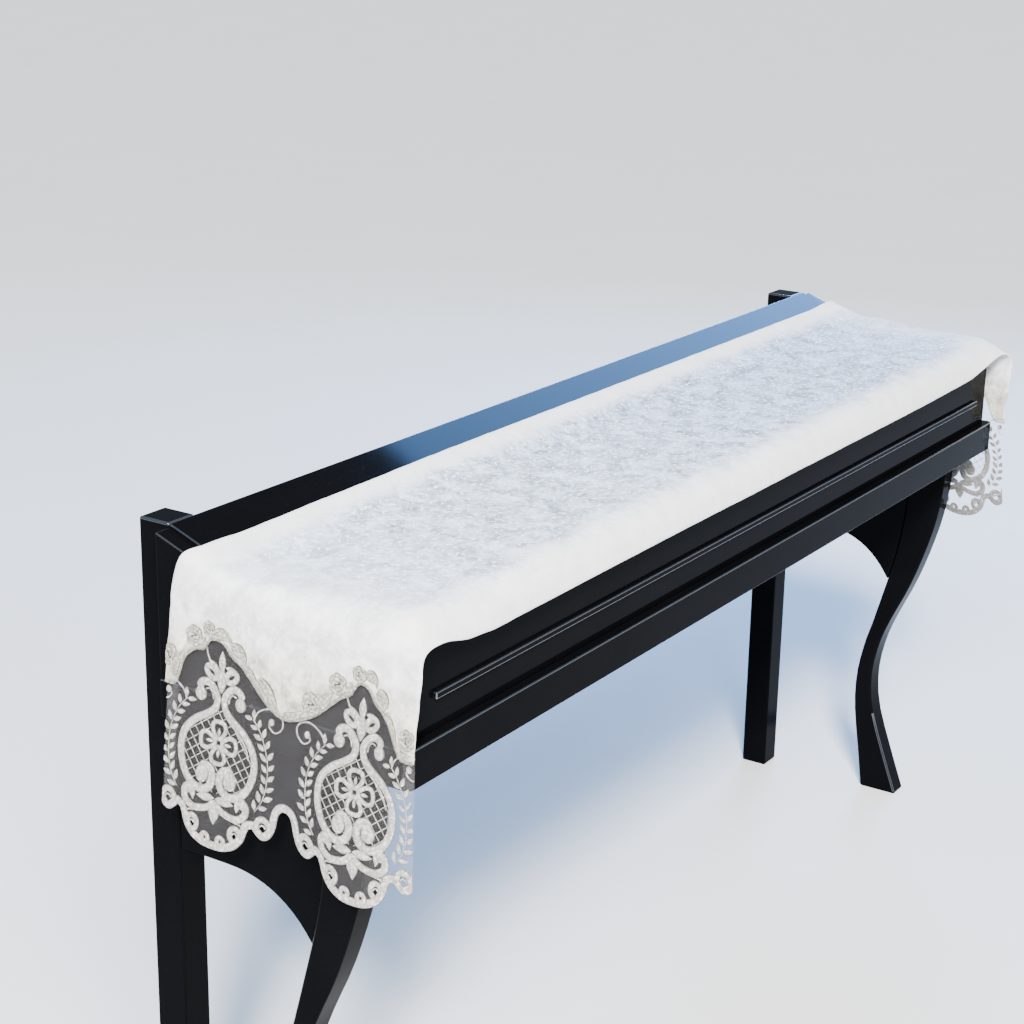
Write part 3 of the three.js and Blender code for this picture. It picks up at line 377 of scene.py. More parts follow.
def cover_point(along, across):
    """Where a point of the flat cloth's underside lies once it is draped."""
    side = np.where(along < 0, LEFT, RIGHT)
    far = np.minimum(np.abs(along), FOLD_START)
    past = np.abs(along) - far
    slip = blend(eased(BACK_SLIPS, side * far), eased(FRONT_SLIPS, side * far), across / COVER_WIDTH)
    top = SECTION_LINE.at(BACK_SELVAGE + slip + across)
    top_height = top[..., 1] + swell_at(side * far, across)
    turn = np.minimum(past / FOLD_RADIUS, math.pi / 2)
    down = np.maximum(past - FOLD_LENGTH, 0)
    to_front = smooth((across - CORNER.across) / (COVER_WIDTH - CORNER.across))
    lead = CORNER.share * to_front * smooth((far - CORNER.start) / (FOLD_START - CORNER.start))
    tight = smooth((FULLNESS.end - across) / (FULLNESS.end - FULLNESS.start))
    power = blend(FULLNESS.front, FULLNESS.back, tight)
    bulge = (np.sin(turn) ** power + np.abs(np.cos(turn)) ** power) ** (-1 / power)

    def ease_after(most):
        wait = most * tight
        return lead + (1 - lead) * smooth((past - wait) / (FOLD_LENGTH - wait))

    start = blend(DROP.start_back, DROP.start_front, across / COVER_WIDTH) + FOLD_RADIUS
    share = down / DROP.length
    waves = np.where(side < 0, waves_at(LEFT, across), waves_at(RIGHT, across))
    outward = DROP.flare * share ** DROP.flare_power + waves * smooth(share)
    reach = far + FOLD_RADIUS * bulge * np.sin(turn) + outward
    hanging = DROP.back - across - sway_at(across, down)
    depth = blend(top[..., 0], hanging, ease_after(FOLD_WAIT.swing))
    height = blend(top_height, start, ease_after(FOLD_WAIT.fall)) - FOLD_RADIUS * (1 - bulge * np.cos(turn))
    return np.stack([side * reach, depth, height - down], -1)


def shelf_origin():
    lid_low, lid_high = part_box("key_lid")
    rail_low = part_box("front_rail")[0]
    return Vector(((lid_low.x + lid_high.x) / 2, rail_low.y, lid_low.z))


ORIGIN = shelf_origin()


def draped(along, across, height, probe=0.5):
    """Points at a height above the cloth's underside, in the frame's metres."""
    along, across, height = np.broadcast_arrays(along, across, height)
    out = np.cross(cover_point(along, across + probe) - cover_point(along, across - probe),
                   cover_point(along + probe, across) - cover_point(along - probe, across))
    out = out / np.linalg.norm(out, axis=-1, keepdims=True)
    return np.array(ORIGIN) + MM * (cover_point(along, across) + height[..., None] * out)


def arch_edge(across):
    """How far down the velvet's arched edge lies, with its corners rounded off."""
    places, downs = np.array(ARCH_EDGE, float).T
    near = [np.interp(across + step, places, downs) for step in ARCH_EVENED]
    return sum(near) / len(near)


class Wiring:
    """A node tree in the making."""

    def __init__(self, tree):
        self.tree = tree

    def node(self, kind, settings=None, sockets=None, output=0):
        """Adds a node: its settings first, then the values or links of its sockets."""
        node = self.tree.nodes.new(kind)
        for name, setting in (settings or {}).items():
            if name == "stops":
                set_stops(node.color_ramp, setting)
            else:
                setattr(node, name, setting)
        for key, value in (sockets or {}).items():
            if isinstance(value, Value):
                self.tree.links.new(value.socket, node.inputs[key])
            else:
                node.inputs[key].default_value = value
        return Value(self, node.outputs[output]) if node.outputs else None

    def ease(self, value, low, high, to_low=0.0, to_high=1.0):
        sockets = {"Value": value, "From Min": low, "From Max": high, "To Min": to_low, "To Max": to_high}
        return self.node("ShaderNodeMapRange", {"interpolation_type": "SMOOTHSTEP"}, sockets)

    def colour(self, share, first, second, way="MIX"):
        settings = {"data_type": "RGBA", "blend_type": way}
        return self.node("ShaderNodeMix", settings, {0: share, 6: first, 7: second}, output=2)

    def part(self, vector, axis):
        return self.node("ShaderNodeSeparateXYZ", None, {0: vector}, output=axis)

    def noise(self, place, size, detail=3.0, roughness=0.55, warp=0.0, output=0):
        """Cloudy noise whose patches are about size millimetres wide."""
        sockets = {"Vector": place, "Scale": 1 / size, "Detail": detail, "Roughness": roughness,
                   "Distortion": warp}
        return self.node("ShaderNodeTexNoise", None, sockets, output)


class Value:
    """A socket's value: sums and products of values add Math nodes to their tree."""

    def __init__(self, wiring, socket):
        self.wiring = wiring
        self.socket = socket

    def math(self, operation, first, second=0.0):
        return self.wiring.node("ShaderNodeMath", {"operation": operation}, {0: first, 1: second})

    def __add__(self, other):
        return self.math("ADD", self, other)

    def __radd__(self, other):
        return self.math("ADD", other, self)

    def __sub__(self, other):
        return self.math("SUBTRACT", self, other)

    def __rsub__(self, other):
        return self.math("SUBTRACT", other, self)

    def __mul__(self, other):
        return self.math("MULTIPLY", self, other)

    def __rmul__(self, other):
        return self.math("MULTIPLY", other, self)

    def __abs__(self):
        return self.math("ABSOLUTE", self)


def set_stops(ramp, stops):
    for place, tone in stops[1:-1]:
        ramp.elements.new(place)
    for element, (place, tone) in zip(ramp.elements, stops):
        element.position = place
        element.color = (tone, tone, tone, 1)


class Finish(Wiring):
    """A material whose even values sit on its shader, and whose varied ones are fed to it."""

    def __init__(self, name, **even):
        self.material = bpy.data.materials.new(name)
        self.material.use_nodes = True
        super().__init__(self.material.node_tree)
        self.shader = self.tree.nodes["Principled BSDF"]
        for socket, value in even.items():
            self.shader.inputs[socket.replace("_", " ")].default_value = value

    def feed(self, socket, value):
        self.tree.links.new(value.socket, self.shader.inputs[socket])

    def bump(self, height, distance, strength=1.0):
        sockets = {"Strength": strength, "Distance": distance, "Height": height}
        self.feed("Normal", self.node("ShaderNodeBump", None, sockets))

    def attribute(self, name):
        return self.node("ShaderNodeAttribute", {"attribute_name": name}, output="Vector")

    def place(self):
        """The place on the piece, in millimetres."""
        metres = self.node("ShaderNodeTexCoord", output="Object")
        scale = {0: metres, "Scale": 1 / MM}
        return self.node("ShaderNodeVectorMath", {"operation": "SCALE"}, scale)


def velvet_finish():
    """Ivory crushed velvet: creamy edges and drops, darker and warmer towards the hem, and a top with a
    mottle that is partly painted sheen, a painted blue reflection of the sky, painted glints and painted
    light near the ends.
    """
    finish = Finish("ivory_velvet", Sheen_Weight=0.3, Sheen_Roughness=0.45, Sheen_Tint=(1, 0.99, 0.97, 1),
                    Specular_IOR_Level=0.15)
    cloth = finish.attribute("cloth")
    length = finish.part(cloth, "X")
    along = abs(length)
    wander = finish.noise(cloth, 60, detail=4) * (2 * VELVET_ZONE.wander) - VELVET_ZONE.wander
    inwards = finish.part(cloth, "Y") + wander
    middle = (finish.ease(inwards, *VELVET_ZONE.off_back) * finish.ease(inwards, *VELVET_ZONE.off_front)
              * finish.ease(along, *VELVET_ZONE.off_ends))
    # Painted light: the top is lighter towards both ends.
    near_end = finish.ease(along, *VELVET_ZONE.near_end)
    drop = finish.ease(along, *VELVET_ZONE.drop)
    hem = finish.ease(along, *VELVET_ZONE.hem)
    crush = finish.noise(cloth, 30, detail=6, roughness=0.68, warp=0.5)
    flakes = finish.noise(cloth, 8, detail=4, roughness=0.6, warp=0.6)
    mottle = finish.node("ShaderNodeValToRGB", {"stops": VELVET_MOTTLE}, {0: crush * 0.72 + flakes * 0.28})
    # Painted reflection: the sky's blue on the top, darker towards the far end as painted falloff of light.
    cool = finish.colour(finish.ease(length, *VELVET_ZONE.cooler), VELVET_TINT.cool, VELVET_TINT.cooler)
    tint = finish.colour(middle, VELVET_TINT.edge, cool)
    tint = finish.colour(drop, tint, finish.colour(hem, VELVET_TINT.drop, VELVET_TINT.hem))
    # The mottle is partly painted sheen, deepest on the top and painted lighter near the ends; the drops and
    # the hem are darker.
    depth = (VELVET_SHADE.least + middle * (VELVET_SHADE.middle + near_end * VELVET_SHADE.near_end)
             + drop * VELVET_SHADE.drop + hem * VELVET_SHADE.hem)
    crushed = finish.colour(1.0, tint, 1 - depth * (1 - mottle), way="MULTIPLY")
    # Painted glints: small white specks of highlight, most of them on the top.
    glints = finish.ease(finish.noise(cloth, VELVET_GLINTS.size), *VELVET_GLINTS.fade)
    share = glints * (VELVET_GLINTS.least + middle * VELVET_GLINTS.middle)
    finish.feed("Base Color", finish.colour(share, crushed, VELVET_TINT.fleck))
    finish.feed("Roughness", 0.92 - mottle * 0.16)
    finish.bump(crush * 0.7 + flakes * 0.45, 1.2 * MM, 0.5)
    return finish.material


def tulle_finish():
    """Sheer tulle: a fine six-sided net with open cells."""
    finish = Finish("ivory_tulle", Roughness=0.75, Specular_IOR_Level=0.2)
    cloth = finish.attribute("cloth")
    edge = finish.node("ShaderNodeTexVoronoi", {"feature": "DISTANCE_TO_EDGE"},
                       {"Vector": cloth, "Scale": 1 / NET.cell, "Randomness": NET.uneven})
    thread = finish.ease(edge, *NET.thread)
    patches = finish.noise(cloth, 24)
    finish.feed("Base Color", finish.colour(patches, (0.69, 0.665, 0.685, 1), (0.77, 0.745, 0.765, 1)))
    hidden = NET.haze + thread * (NET.cover + patches * NET.patches)
    finish.feed("Alpha", hidden * (1 + finish.part(cloth, "Z") * NET.inside))
    return finish.material


def thread_finish(name, pale, deep, pitch, roughness, flank, flank_shade):
    """Satin stitches side by side along the attribute's first direction: uneven thread whose patches run
    from painted shade to painted highlights, and painted shade in the grooves between stitches and past the
    flank.
    """
    finish = Finish(name, Sheen_Weight=0.2, Sheen_Roughness=0.35, Specular_IOR_Level=0.7)
    stitch = finish.attribute("stitch")
    rows = finish.node("ShaderNodeTexWave", {"wave_type": "BANDS", "bands_direction": "X"},
                       {"Vector": stitch, "Scale": WAVE_LENGTH / pitch, "Distortion": 1.2, "Detail": 1.5,
                        "Detail Scale": 0.8}, output="Fac")
    patches = finish.noise(finish.place(), 3.2, detail=4, roughness=0.7)
    # Patches from the deep to the pale tint: uneven thread, with painted shade at the deep end and painted
    # highlights at the pale end.
    tint = finish.colour(finish.ease(patches, 0.42, 0.76), deep, pale)
    # Painted shade: darker in the grooves between stitches, and past the flank, between bands and petals.
    shade = (0.74 + rows * 0.26) * finish.ease(finish.part(stitch, "Z"), flank, 1.0, 1.0, flank_shade)
    finish.feed("Base Color", finish.colour(1.0, tint, shade, way="MULTIPLY"))
    finish.feed("Roughness", roughness + patches * 0.18)
    finish.bump(rows + patches * 0.8, 0.4 * MM, 0.7)
    return finish.material


def lacquer_finish(name, gloss, deep, haze_tint):
    """Black lacquer on wood: deep gloss with faint dust and hazy rubbing."""
    finish = Finish(name, IOR=gloss)
    place = finish.place()
    haze = finish.noise(place, 160, detail=5)
    dust = finish.ease(finish.noise(place, 2.4, detail=2), 0.66, 0.78)
    tint = finish.colour(haze, deep, haze_tint)
    finish.feed("Base Color", finish.colour(dust * 0.03, tint, (0.16, 0.16, 0.16, 1)))
    finish.feed("Roughness", 0.04 + haze * 0.05 + dust * 0.1)
    finish.bump(finish.noise(place, 34, detail=2), 0.1 * MM, 0.12)
    return finish.material


def floor_finish():
    finish = Finish("pale_floor", Specular_IOR_Level=0.2)
    patches = finish.noise(finish.place(), 420, detail=5)
    finish.feed("Base Color", finish.colour(patches, (0.80, 0.80, 0.80, 1), (0.84, 0.84, 0.84, 1)))
    finish.feed("Roughness", 0.8 + patches * 0.15)
    return finish.material


class Work:
    """Shapes gathered on the flat cloth, with a place in their own pattern for every point."""

    def __init__(self):
        self.points = []
        self.faces = []
        self.pattern = []
        self.count = 0

    def add(self, points, faces, pattern):
        self.faces.extend([self.count + corner for corner in face] for face in faces)
        self.points.append(np.asarray(points, float))
        self.pattern.append(np.asarray(pattern, float))
        self.count += len(points)

    def take(self, mesh):
        """Adds a made mesh that carries its pattern in the attribute stitch."""
        points = read_vectors(mesh.attributes["position"])
        pattern = read_vectors(mesh.attributes["stitch"])
        self.add(points, [list(face.vertices) for face in mesh.polygons], pattern)

    def mesh(self, name, attribute="stitch"):
        mesh = bpy.data.meshes.new(name)
        mesh.from_pydata(np.vstack(self.points).tolist(), [], self.faces)
        write_vectors(mesh, attribute, np.vstack(self.pattern))
        return mesh


def read_vectors(attribute):
    values = np.empty(len(attribute.data) * 3, np.float32)
    attribute.data.foreach_get("vector", values)
    return values.reshape(-1, 3).astype(float)


def write_vectors(mesh, attribute, vectors):
    layer = mesh.attributes.new(attribute, "FLOAT_VECTOR", "POINT")
    layer.data.foreach_set("vector", vectors.astype(np.float32).ravel())


def turn_outwards(mesh):
    work = bmesh.new()
    work.from_mesh(mesh)
    bmesh.ops.recalc_face_normals(work, faces=work.faces[:])
    work.to_mesh(mesh)
    work.free()


def move_points(mesh, points):
    mesh.vertices.foreach_set("co", points.astype(np.float32).ravel())
    mesh.update()


def new_object(name, data):
    made = bpy.data.objects.new(name, data)
    bpy.context.scene.collection.objects.link(made)
    return made


def finished_mesh(carrier):
    """A carrier's mesh once its modifier has run, as a plain mesh; the carrier is removed."""
    depsgraph = bpy.context.evaluated_depsgraph_get()
    mesh = bpy.data.meshes.new_from_object(carrier.evaluated_get(depsgraph))
    bpy.data.objects.remove(carrier)
    return mesh


def make_piece(name, mesh, material, slot, *nodes):
    mesh.name = name
    mesh.materials.clear()
    mesh.materials.append(material)
    piece = new_object(name, mesh)
    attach(piece, "root")
    if nodes:
        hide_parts(*nodes)
    return piece


def tube_faces(stations, ring, closed=False):
    """The faces between rings of points that follow each other."""
    faces = []
    for station in range(stations if closed else stations - 1):
        here = station * ring
        there = (station + 1) % stations * ring
        for corner in range(ring):
            after = (corner + 1) % ring
            faces.append((here + corner, here + after, there + after, there + corner))
    return faces


def velvet_rows():
    """Where each row of the runner lies along it, for places across it."""
    across = np.linspace(0, COVER_WIDTH, VELVET_COLUMNS)
    lid = np.linspace(-FOLD_START, FOLD_START, LID_ROWS)
    fold = np.linspace(FOLD_START, DROP_START, FOLD_ROWS)[1:]
    share = np.linspace(0, 1, DROP_ROWS)[1:]
    end = np.vstack([fold[:, None] + 0 * across, DROP_START + share[:, None] * arch_edge(across)])
    along = np.vstack([-end[::-1], lid[:, None] + 0 * across, end])
    return along, np.broadcast_to(across, along.shape)


def crease_at(along, across):
    height = 0
    for start, end, lift, half_width in CREASES:
        start, way = np.array(start, float), np.subtract(end, start)
        offset = np.stack([along, across], -1) - start
        share = np.clip(offset @ way / (way @ way), 0, 1)
        away = np.linalg.norm(offset - share[..., None] * way, axis=-1)
        fade = np.sqrt(np.sin(np.pi * share) + CREASE_END)
        height = height + lift * np.exp(-(away / half_width) ** 2) * fade
    return height


def nap_at(along, across):
    """The crushed pile's own ups and downs."""
    height = np.empty(along.shape)
    for index in np.ndindex(along.shape):
        spot = Vector((along[index], across[index], 0))
        height[index] = (NAP.height * noise.noise(spot / NAP.length)
                         + NAP.fine_height * noise.noise(spot / NAP.fine_length))
    return height


def velvet_mesh():
    """The runner as one closed sheet: its face, its back and a rounded rim between them."""
    along, across = velvet_rows()
    crease = crease_at(along, across)
    face = VELVET + crease + nap_at(along, across) + NAP.lift
    rim = VELVET / 2
    loop_along = np.hstack([along, along[:, -1:], along[:, ::-1], along[:, :1]])
    loop_across = np.hstack([across, across[:, -1:] + rim, across[:, ::-1], across[:, :1] - rim])
    loop_height = np.hstack([face, face[:, -1:] - rim, crease[:, ::-1], face[:, :1] - rim])
    points = draped(loop_along, loop_across, loop_height)
    rows, ring = loop_along.shape
    faces = tube_faces(rows, ring)
    last = VELVET_COLUMNS - 1
    for row in (0, rows - 1):
        start = row * ring
        for column in range(last):
            back = 2 * last + 2 - column
            faces.append((start + column, start + column + 1, start + back - 1, start + back))
        faces.append((start + last, start + last + 1, start + last + 2))
        faces.append((start + 2 * last + 2, start + 2 * last + 3, start))
    mesh = bpy.data.meshes.new("velvet_runner")
    mesh.from_pydata(points.reshape(-1, 3).tolist(), [], faces)
    pattern = np.stack([loop_along, loop_across, np.zeros_like(loop_along)], -1)
    write_vectors(mesh, "cloth", pattern.reshape(-1, 3))
    turn_outwards(mesh)
    mesh.shade_smooth()
    return mesh


def stations_along(length, form, cap):
    """The shares of a line at which a band's outline is taken, and how full the band is there."""
    count = max(STITCH.fewest, round(length / STITCH.step))
    if form == "loop":
        return np.arange(count) / count, np.ones(count)
    if form == "leaf":
        share = np.linspace(BAND_END.leaf, 1 - BAND_END.leaf, count)
        return share, np.sin(math.pi * share ** BAND_END.leaf_skew)
    if form == "oval":
        turn = np.linspace(BAND_END.oval, 1 - BAND_END.oval, count) * math.pi
        return (1 - np.cos(turn)) / 2, np.sin(turn)
    turn = np.linspace(BAND_END.cap, 1, BAND_END.cap_points) * math.pi / 2
    tip = cap * (1 - np.cos(turn)) / length
    middle = np.linspace(tip[-1], 1 - tip[-1], count)[1:-1]
    full = np.concatenate([np.sin(turn), np.ones(len(middle)), np.sin(turn[::-1])])
    return np.concatenate([tip, middle, 1 - tip[::-1]]), full


def band(work, line, width, form="round", rise=STITCH.rise, groove=0.0, base=STITCH.base):
    """Lays a satin-stitched band along a line; a pair of widths runs from its start to its end."""
    start, end = width if isinstance(width, tuple) else (width, width)
    share, full = stations_along(line.length, form, min(start, end) / 2)
    half = blend(start, end, share) / 2 * full
    angle = np.linspace(0, 2 * math.pi, STITCH.ring, endpoint=False)
    side, up = np.cos(angle), np.sin(angle)
    crown = np.abs(up) ** STITCH.full * (1 - groove * np.exp(-(side / GROOVE.share) ** 2))
    lift = np.where(up > 0, rise * crown, -STITCH.back * np.abs(up) ** STITCH.full)
    walk = share * line.length
    spread = half[:, None] * side
    flat = line.at(walk)[:, None] + spread[..., None] * line.sideways(walk)[:, None]
    height = base + np.sqrt(full)[:, None] * lift
    points = np.concatenate([flat, height[..., None]], -1)
    # The pattern's third part rises to 1 at a band's flanks and underside, where the finish paints shade.
    flank = np.broadcast_to(np.where(up > 0, np.abs(side), 1), spread.shape)
    pattern = np.stack([np.broadcast_to(walk[:, None], spread.shape), spread, flank], -1)
    closed = form == "loop"
    faces = tube_faces(len(share), STITCH.ring, closed)
    if not closed:
        last = (len(share) - 1) * STITCH.ring
        faces.append(tuple(range(STITCH.ring)))
        faces.append(tuple(range(last, last + STITCH.ring)))
    work.add(points.reshape(-1, 3), faces, pattern.reshape(-1, 3))


def ring(work, across, down, wide, high, hole_wide, hole_high, turn=0.0):
    """Lays a stitched ring round a hole, from the half sizes of both, turned from upright."""
    angle = np.linspace(0, 2 * math.pi, STITCH.loop_points, endpoint=False)
    aside = (wide + hole_wide) / 2 * np.sin(angle)
    below = -(high + hole_high) / 2 * np.cos(angle)
    middle = np.column_stack([across + aside * math.cos(turn) + below * math.sin(turn),
                              down - aside * math.sin(turn) + below * math.cos(turn)])
    width = (wide + high - hole_wide - hole_high) / 2
    band(work, Line(middle, closed=True), width, "loop", groove=GROOVE.ring)


def tongue(work, across, down, hole_wide, hole_high):
    """Lays a short bowed bar over the upper part of an eyelet's hole."""
    bow = [(aside * hole_wide, below * hole_high) for aside, below in TONGUE]
    band(work, Line([(across + aside, down + below) for aside, below in bow]), TONGUE_WIDTH)


def straight(across, down, length, turn):
    """A line from a point, turned from straight down towards the front."""
    way = np.array([math.sin(turn), math.cos(turn)])
    root = np.array([across, down], float)
    return Line([root, root + way * length / 2, root + way * length])


def flower(work, axis):
    """Petals round a small ring, each a broad outline with a seed in it."""
    middle = np.array([axis, FLOWER.down], float)
    loop = PETAL + [(out, -aside) for out, aside in PETAL[-2::-1]]
    for petal in range(FLOWER.petals):
        turn = 2 * math.pi * petal / FLOWER.petals
        out = np.array([math.cos(turn), math.sin(turn)])
        aside = np.array([-out[1], out[0]])
        outline = [middle + ahead * out + beside * aside for ahead, beside in loop]
        band(work, Line(outline, closed=True), FLOWER.band, "loop")
        seed = [middle + ahead * out for ahead in np.linspace(FLOWER.seed_start, FLOWER.seed_end, 3)]
        band(work, Line(seed), FLOWER.seed_width, "leaf")
    eye = FLOWER.ring - FLOWER.ring_band
    ring(work, axis, FLOWER.down, FLOWER.ring, FLOWER.ring, eye, eye)


def motif(work, axis):
    """One repeat's solid embroidery, both hands of it."""
    def laid(points):
        return Line([(axis + hand * out, down) for out, down in points])

    for hand in (LEFT, RIGHT):
        band(work, laid(MEDALLION), MEDALLION_WIDTH, groove=GROOVE.medallion)
        band(work, laid(VOLUTE), VOLUTE_WIDTH)
        band(work, laid(SWAG), SWAG_WIDTH)
        for out, down, *sizes in EYELETS:
            ring(work, axis + hand * out, down, *sizes)
            tongue(work, axis + hand * out, down, *sizes[2:])
        for out, down, *sizes, turn in RINGS:
            ring(work, axis + hand * out, down, *sizes, math.radians(turn) * hand)
        for out, down, half_length, half_width, turn in OVALS:
            turn = math.radians(turn) * -hand
            way = np.array([math.sin(turn), math.cos(turn)]) * half_length
            spot = np.array([axis + hand * out, down], float)
            band(work, Line([spot - way, spot, spot + way]), half_width * 2, "oval", rise=STITCH.bud_rise)
        for out, down, length, width, turn in LEAVES + [CAP_LEAVES[hand]]:
            if out or hand == RIGHT:
                line = straight(axis + hand * out, down, length, math.radians(turn) * hand)
                band(work, line, width, "leaf", groove=GROOVE.leaf)
    flower(work, axis)


def hem_line():
    """The scalloped hem through every repeat, from beyond one selvage to beyond the other."""
    points = []
    for axis in AXES:
        points += [(axis - out, down) for out, down in HEM[:0:-1]]
        points += [(axis + out, down) for out, down in HEM[:-1]]
    return Line(points)


def braid(work, hem):
    walk = np.linspace(0, hem.length, round(hem.length / BRAID.step))
    middle = hem.at(walk) - hem.sideways(walk) * BRAID.width / 2
    across = middle[:, 0]
    near = (across > -BRAID.past_selvage) & (across < COVER_WIDTH + BRAID.past_selvage)
    band(work, Line(middle[near]), BRAID.width, groove=GROOVE.braid)


def medallion_reach(down):
    """How far out from its axis a medallion reaches, 0 above and below it."""
    edge = Line(MEDALLION[MEDALLION_SIDE]).spaced(3)
    return np.interp(down, edge[:, 1], edge[:, 0], left=0, right=0)


def lattice_lines(axis):
    """Threads crossed inside a medallion, clear of its flower."""
    walk = np.arange(-LATTICE.reach, LATTICE.reach + LATTICE.step, LATTICE.step)
    lines = []
    for turn in (LATTICE.turn + math.pi / 4, LATTICE.turn - math.pi / 4):
        for start in np.arange(-LATTICE.rows, LATTICE.rows + 1) * LATTICE.pitch:
            out = walk * math.cos(turn) - start * math.sin(turn)
            down = walk * math.sin(turn) + start * math.cos(turn)
            clear = LATTICE.clear + LATTICE.clear_petal * np.abs(np.cos(2 * np.arctan2(down, out)))
            keep = (np.abs(out) < medallion_reach(FLOWER.down + down)) & (np.hypot(out, down) > clear)
            for run in np.split(np.arange(len(walk)), np.flatnonzero(np.diff(keep)) + 1):
                if keep[run[0]] and len(run) > LATTICE.shortest:
                    lines.append([(axis + out[at], FLOWER.down + down[at]) for at in (run[0], run[-1])])
    return lines


def path_mesh(lines, height=STITCH.base):
    """Lines as chains of edges, for the node trees to follow."""
    points, edges = [], []
    for line in lines:
        start = len(points)
        points += [(across, down, height) for across, down in line]
        edges += [(at, at + 1) for at in range(start, len(points) - 1)]
    mesh = bpy.data.meshes.new("path")
    mesh.from_pydata(points, edges, [])
    return mesh


def new_tree(name, **inputs):
    """A node tree with a path, the named inputs and a finish; returns its wiring and its inputs."""
    tree = bpy.data.node_groups.new(name, "GeometryNodeTree")
    tree.interface.new_socket("Path", in_out="INPUT", socket_type="NodeSocketGeometry")
    for title, kind in inputs.items():
        tree.interface.new_socket(title.replace("_", " "), in_out="INPUT", socket_type="NodeSocket" + kind)
    tree.interface.new_socket("Finish", in_out="INPUT", socket_type="NodeSocketMaterial")
    tree.interface.new_socket("Shapes", in_out="OUTPUT", socket_type="NodeSocketGeometry")
    wiring = Wiring(tree)
    group = tree.nodes.new("NodeGroupInput")
    return wiring, {socket.name: Value(wiring, socket) for socket in group.outputs if socket.name}


def close_tree(wiring, shapes, finish):
    solid = wiring.node("GeometryNodeRealizeInstances", None, {0: shapes})
    dressed = wiring.node("GeometryNodeSetMaterial", None, {"Geometry": solid, "Material": finish})
    wiring.node("NodeGroupOutput", None, {0: dressed})
    return wiring.tree


def thread_tree():
    """A round thread along every line of the path."""
    wiring, given = new_tree("laid thread", Radius="Float", Sides="Int")
    curve = wiring.node("GeometryNodeMeshToCurve", None, {0: given["Path"]})
    walk = wiring.node("GeometryNodeSplineParameter", output="Length")
    pattern = wiring.node("ShaderNodeCombineXYZ", None, {"X": walk})
    marked = wiring.node("GeometryNodeStoreNamedAttribute", {"data_type": "FLOAT_VECTOR", "domain": "POINT"},
                         {"Geometry": curve, "Name": "stitch", "Value": pattern})
    circle = wiring.node("GeometryNodeCurvePrimitiveCircle", None,
                         {"Resolution": given["Sides"], "Radius": given["Radius"]})
    tube = wiring.node("GeometryNodeCurveToMesh", None,
                       {"Curve": marked, "Profile Curve": circle, "Fill Caps": True})
    return close_tree(wiring, tube, given["Finish"])


def row_tree():
    """A row of one shape along every line of the path, turned and sized a little at random."""
    wiring, given = new_tree("sewn row", Shape="Object", Pitch="Float", Turn="Float", Turn_Spread="Float",
                             End_Size="Float", Size_Spread="Float", Seed="Int")
    curve = wiring.node("GeometryNodeMeshToCurve", None, {0: given["Path"]})
    points = wiring.node("GeometryNodeResampleCurve", {"mode": "LENGTH"},
                         {"Curve": curve, "Length": given["Pitch"]})
    way = wiring.node("GeometryNodeInputTangent")
    heading = wiring.node("FunctionNodeAlignRotationToVector", {"axis": "X", "pivot_axis": "Z"},
                          {"Vector": way})
    chance = wiring.node("FunctionNodeRandomValue", {"data_type": "FLOAT"},
                         {2: -1.0, 3: 1.0, "Seed": given["Seed"]}, output=1)
    other = wiring.node("FunctionNodeRandomValue", {"data_type": "FLOAT"},
                        {2: -1.0, 3: 1.0, "Seed": given["Seed"] + 1}, output=1)
    twist = wiring.node("ShaderNodeCombineXYZ", None, {"Z": given["Turn"] + chance * given["Turn Spread"]})
    turned = wiring.node("FunctionNodeRotateRotation", {"rotation_space": "LOCAL"},
                         {"Rotation": heading,
                          "Rotate By": wiring.node("FunctionNodeEulerToRotation", None, {0: twist})})
    share = wiring.node("GeometryNodeSplineParameter", output="Factor")
    size = (1 - share * (1 - given["End Size"])) * (1 + other * given["Size Spread"])
    shape = wiring.node("GeometryNodeObjectInfo", None, {"Object": given["Shape"]}, output="Geometry")
    row = wiring.node("GeometryNodeInstanceOnPoints", None,
                      {"Points": points, "Instance": shape, "Rotation": turned, "Scale": size})
    return close_tree(wiring, row, given["Finish"])


def run_tree(tree, path, **inputs):
    """Runs a node tree on a path and gives its shapes as a plain mesh."""
    carrier = new_object("carrier", path)
    modifier = carrier.modifiers.new(tree.name, "NODES")
    modifier.node_group = tree
    for item in tree.interface.items_tree:
        title = item.name.replace(" ", "_")
        if item.in_out == "INPUT" and title in inputs:
            modifier[item.identifier] = inputs[title]
    return finished_mesh(carrier)


def trim_selvages(mesh):
    """Cuts flat work along both selvages and closes the cuts."""
    work = bmesh.new()
    work.from_mesh(mesh)
    for selvage, way in ((0, -1), (COVER_WIDTH, 1)):
        cut = bmesh.ops.bisect_plane(work, geom=work.verts[:] + work.edges[:] + work.faces[:],
                                     plane_co=(selvage, 0, 0), plane_no=(way, 0, 0), clear_outer=True)
        edges = [item for item in cut["geom_cut"] if isinstance(item, bmesh.types.BMEdge)]
        bmesh.ops.holes_fill(work, edges=[edge for edge in edges if edge.is_boundary], sides=0)
    work.to_mesh(mesh)
    work.free()


def both_hands(points, step, hands=(LEFT, RIGHT)):
    """A line at every repeat, on one hand of its axis or on both."""
    return [Line([(axis + hand * out, down) for out, down in points]).spaced(step)
            for axis in AXES for hand in hands]


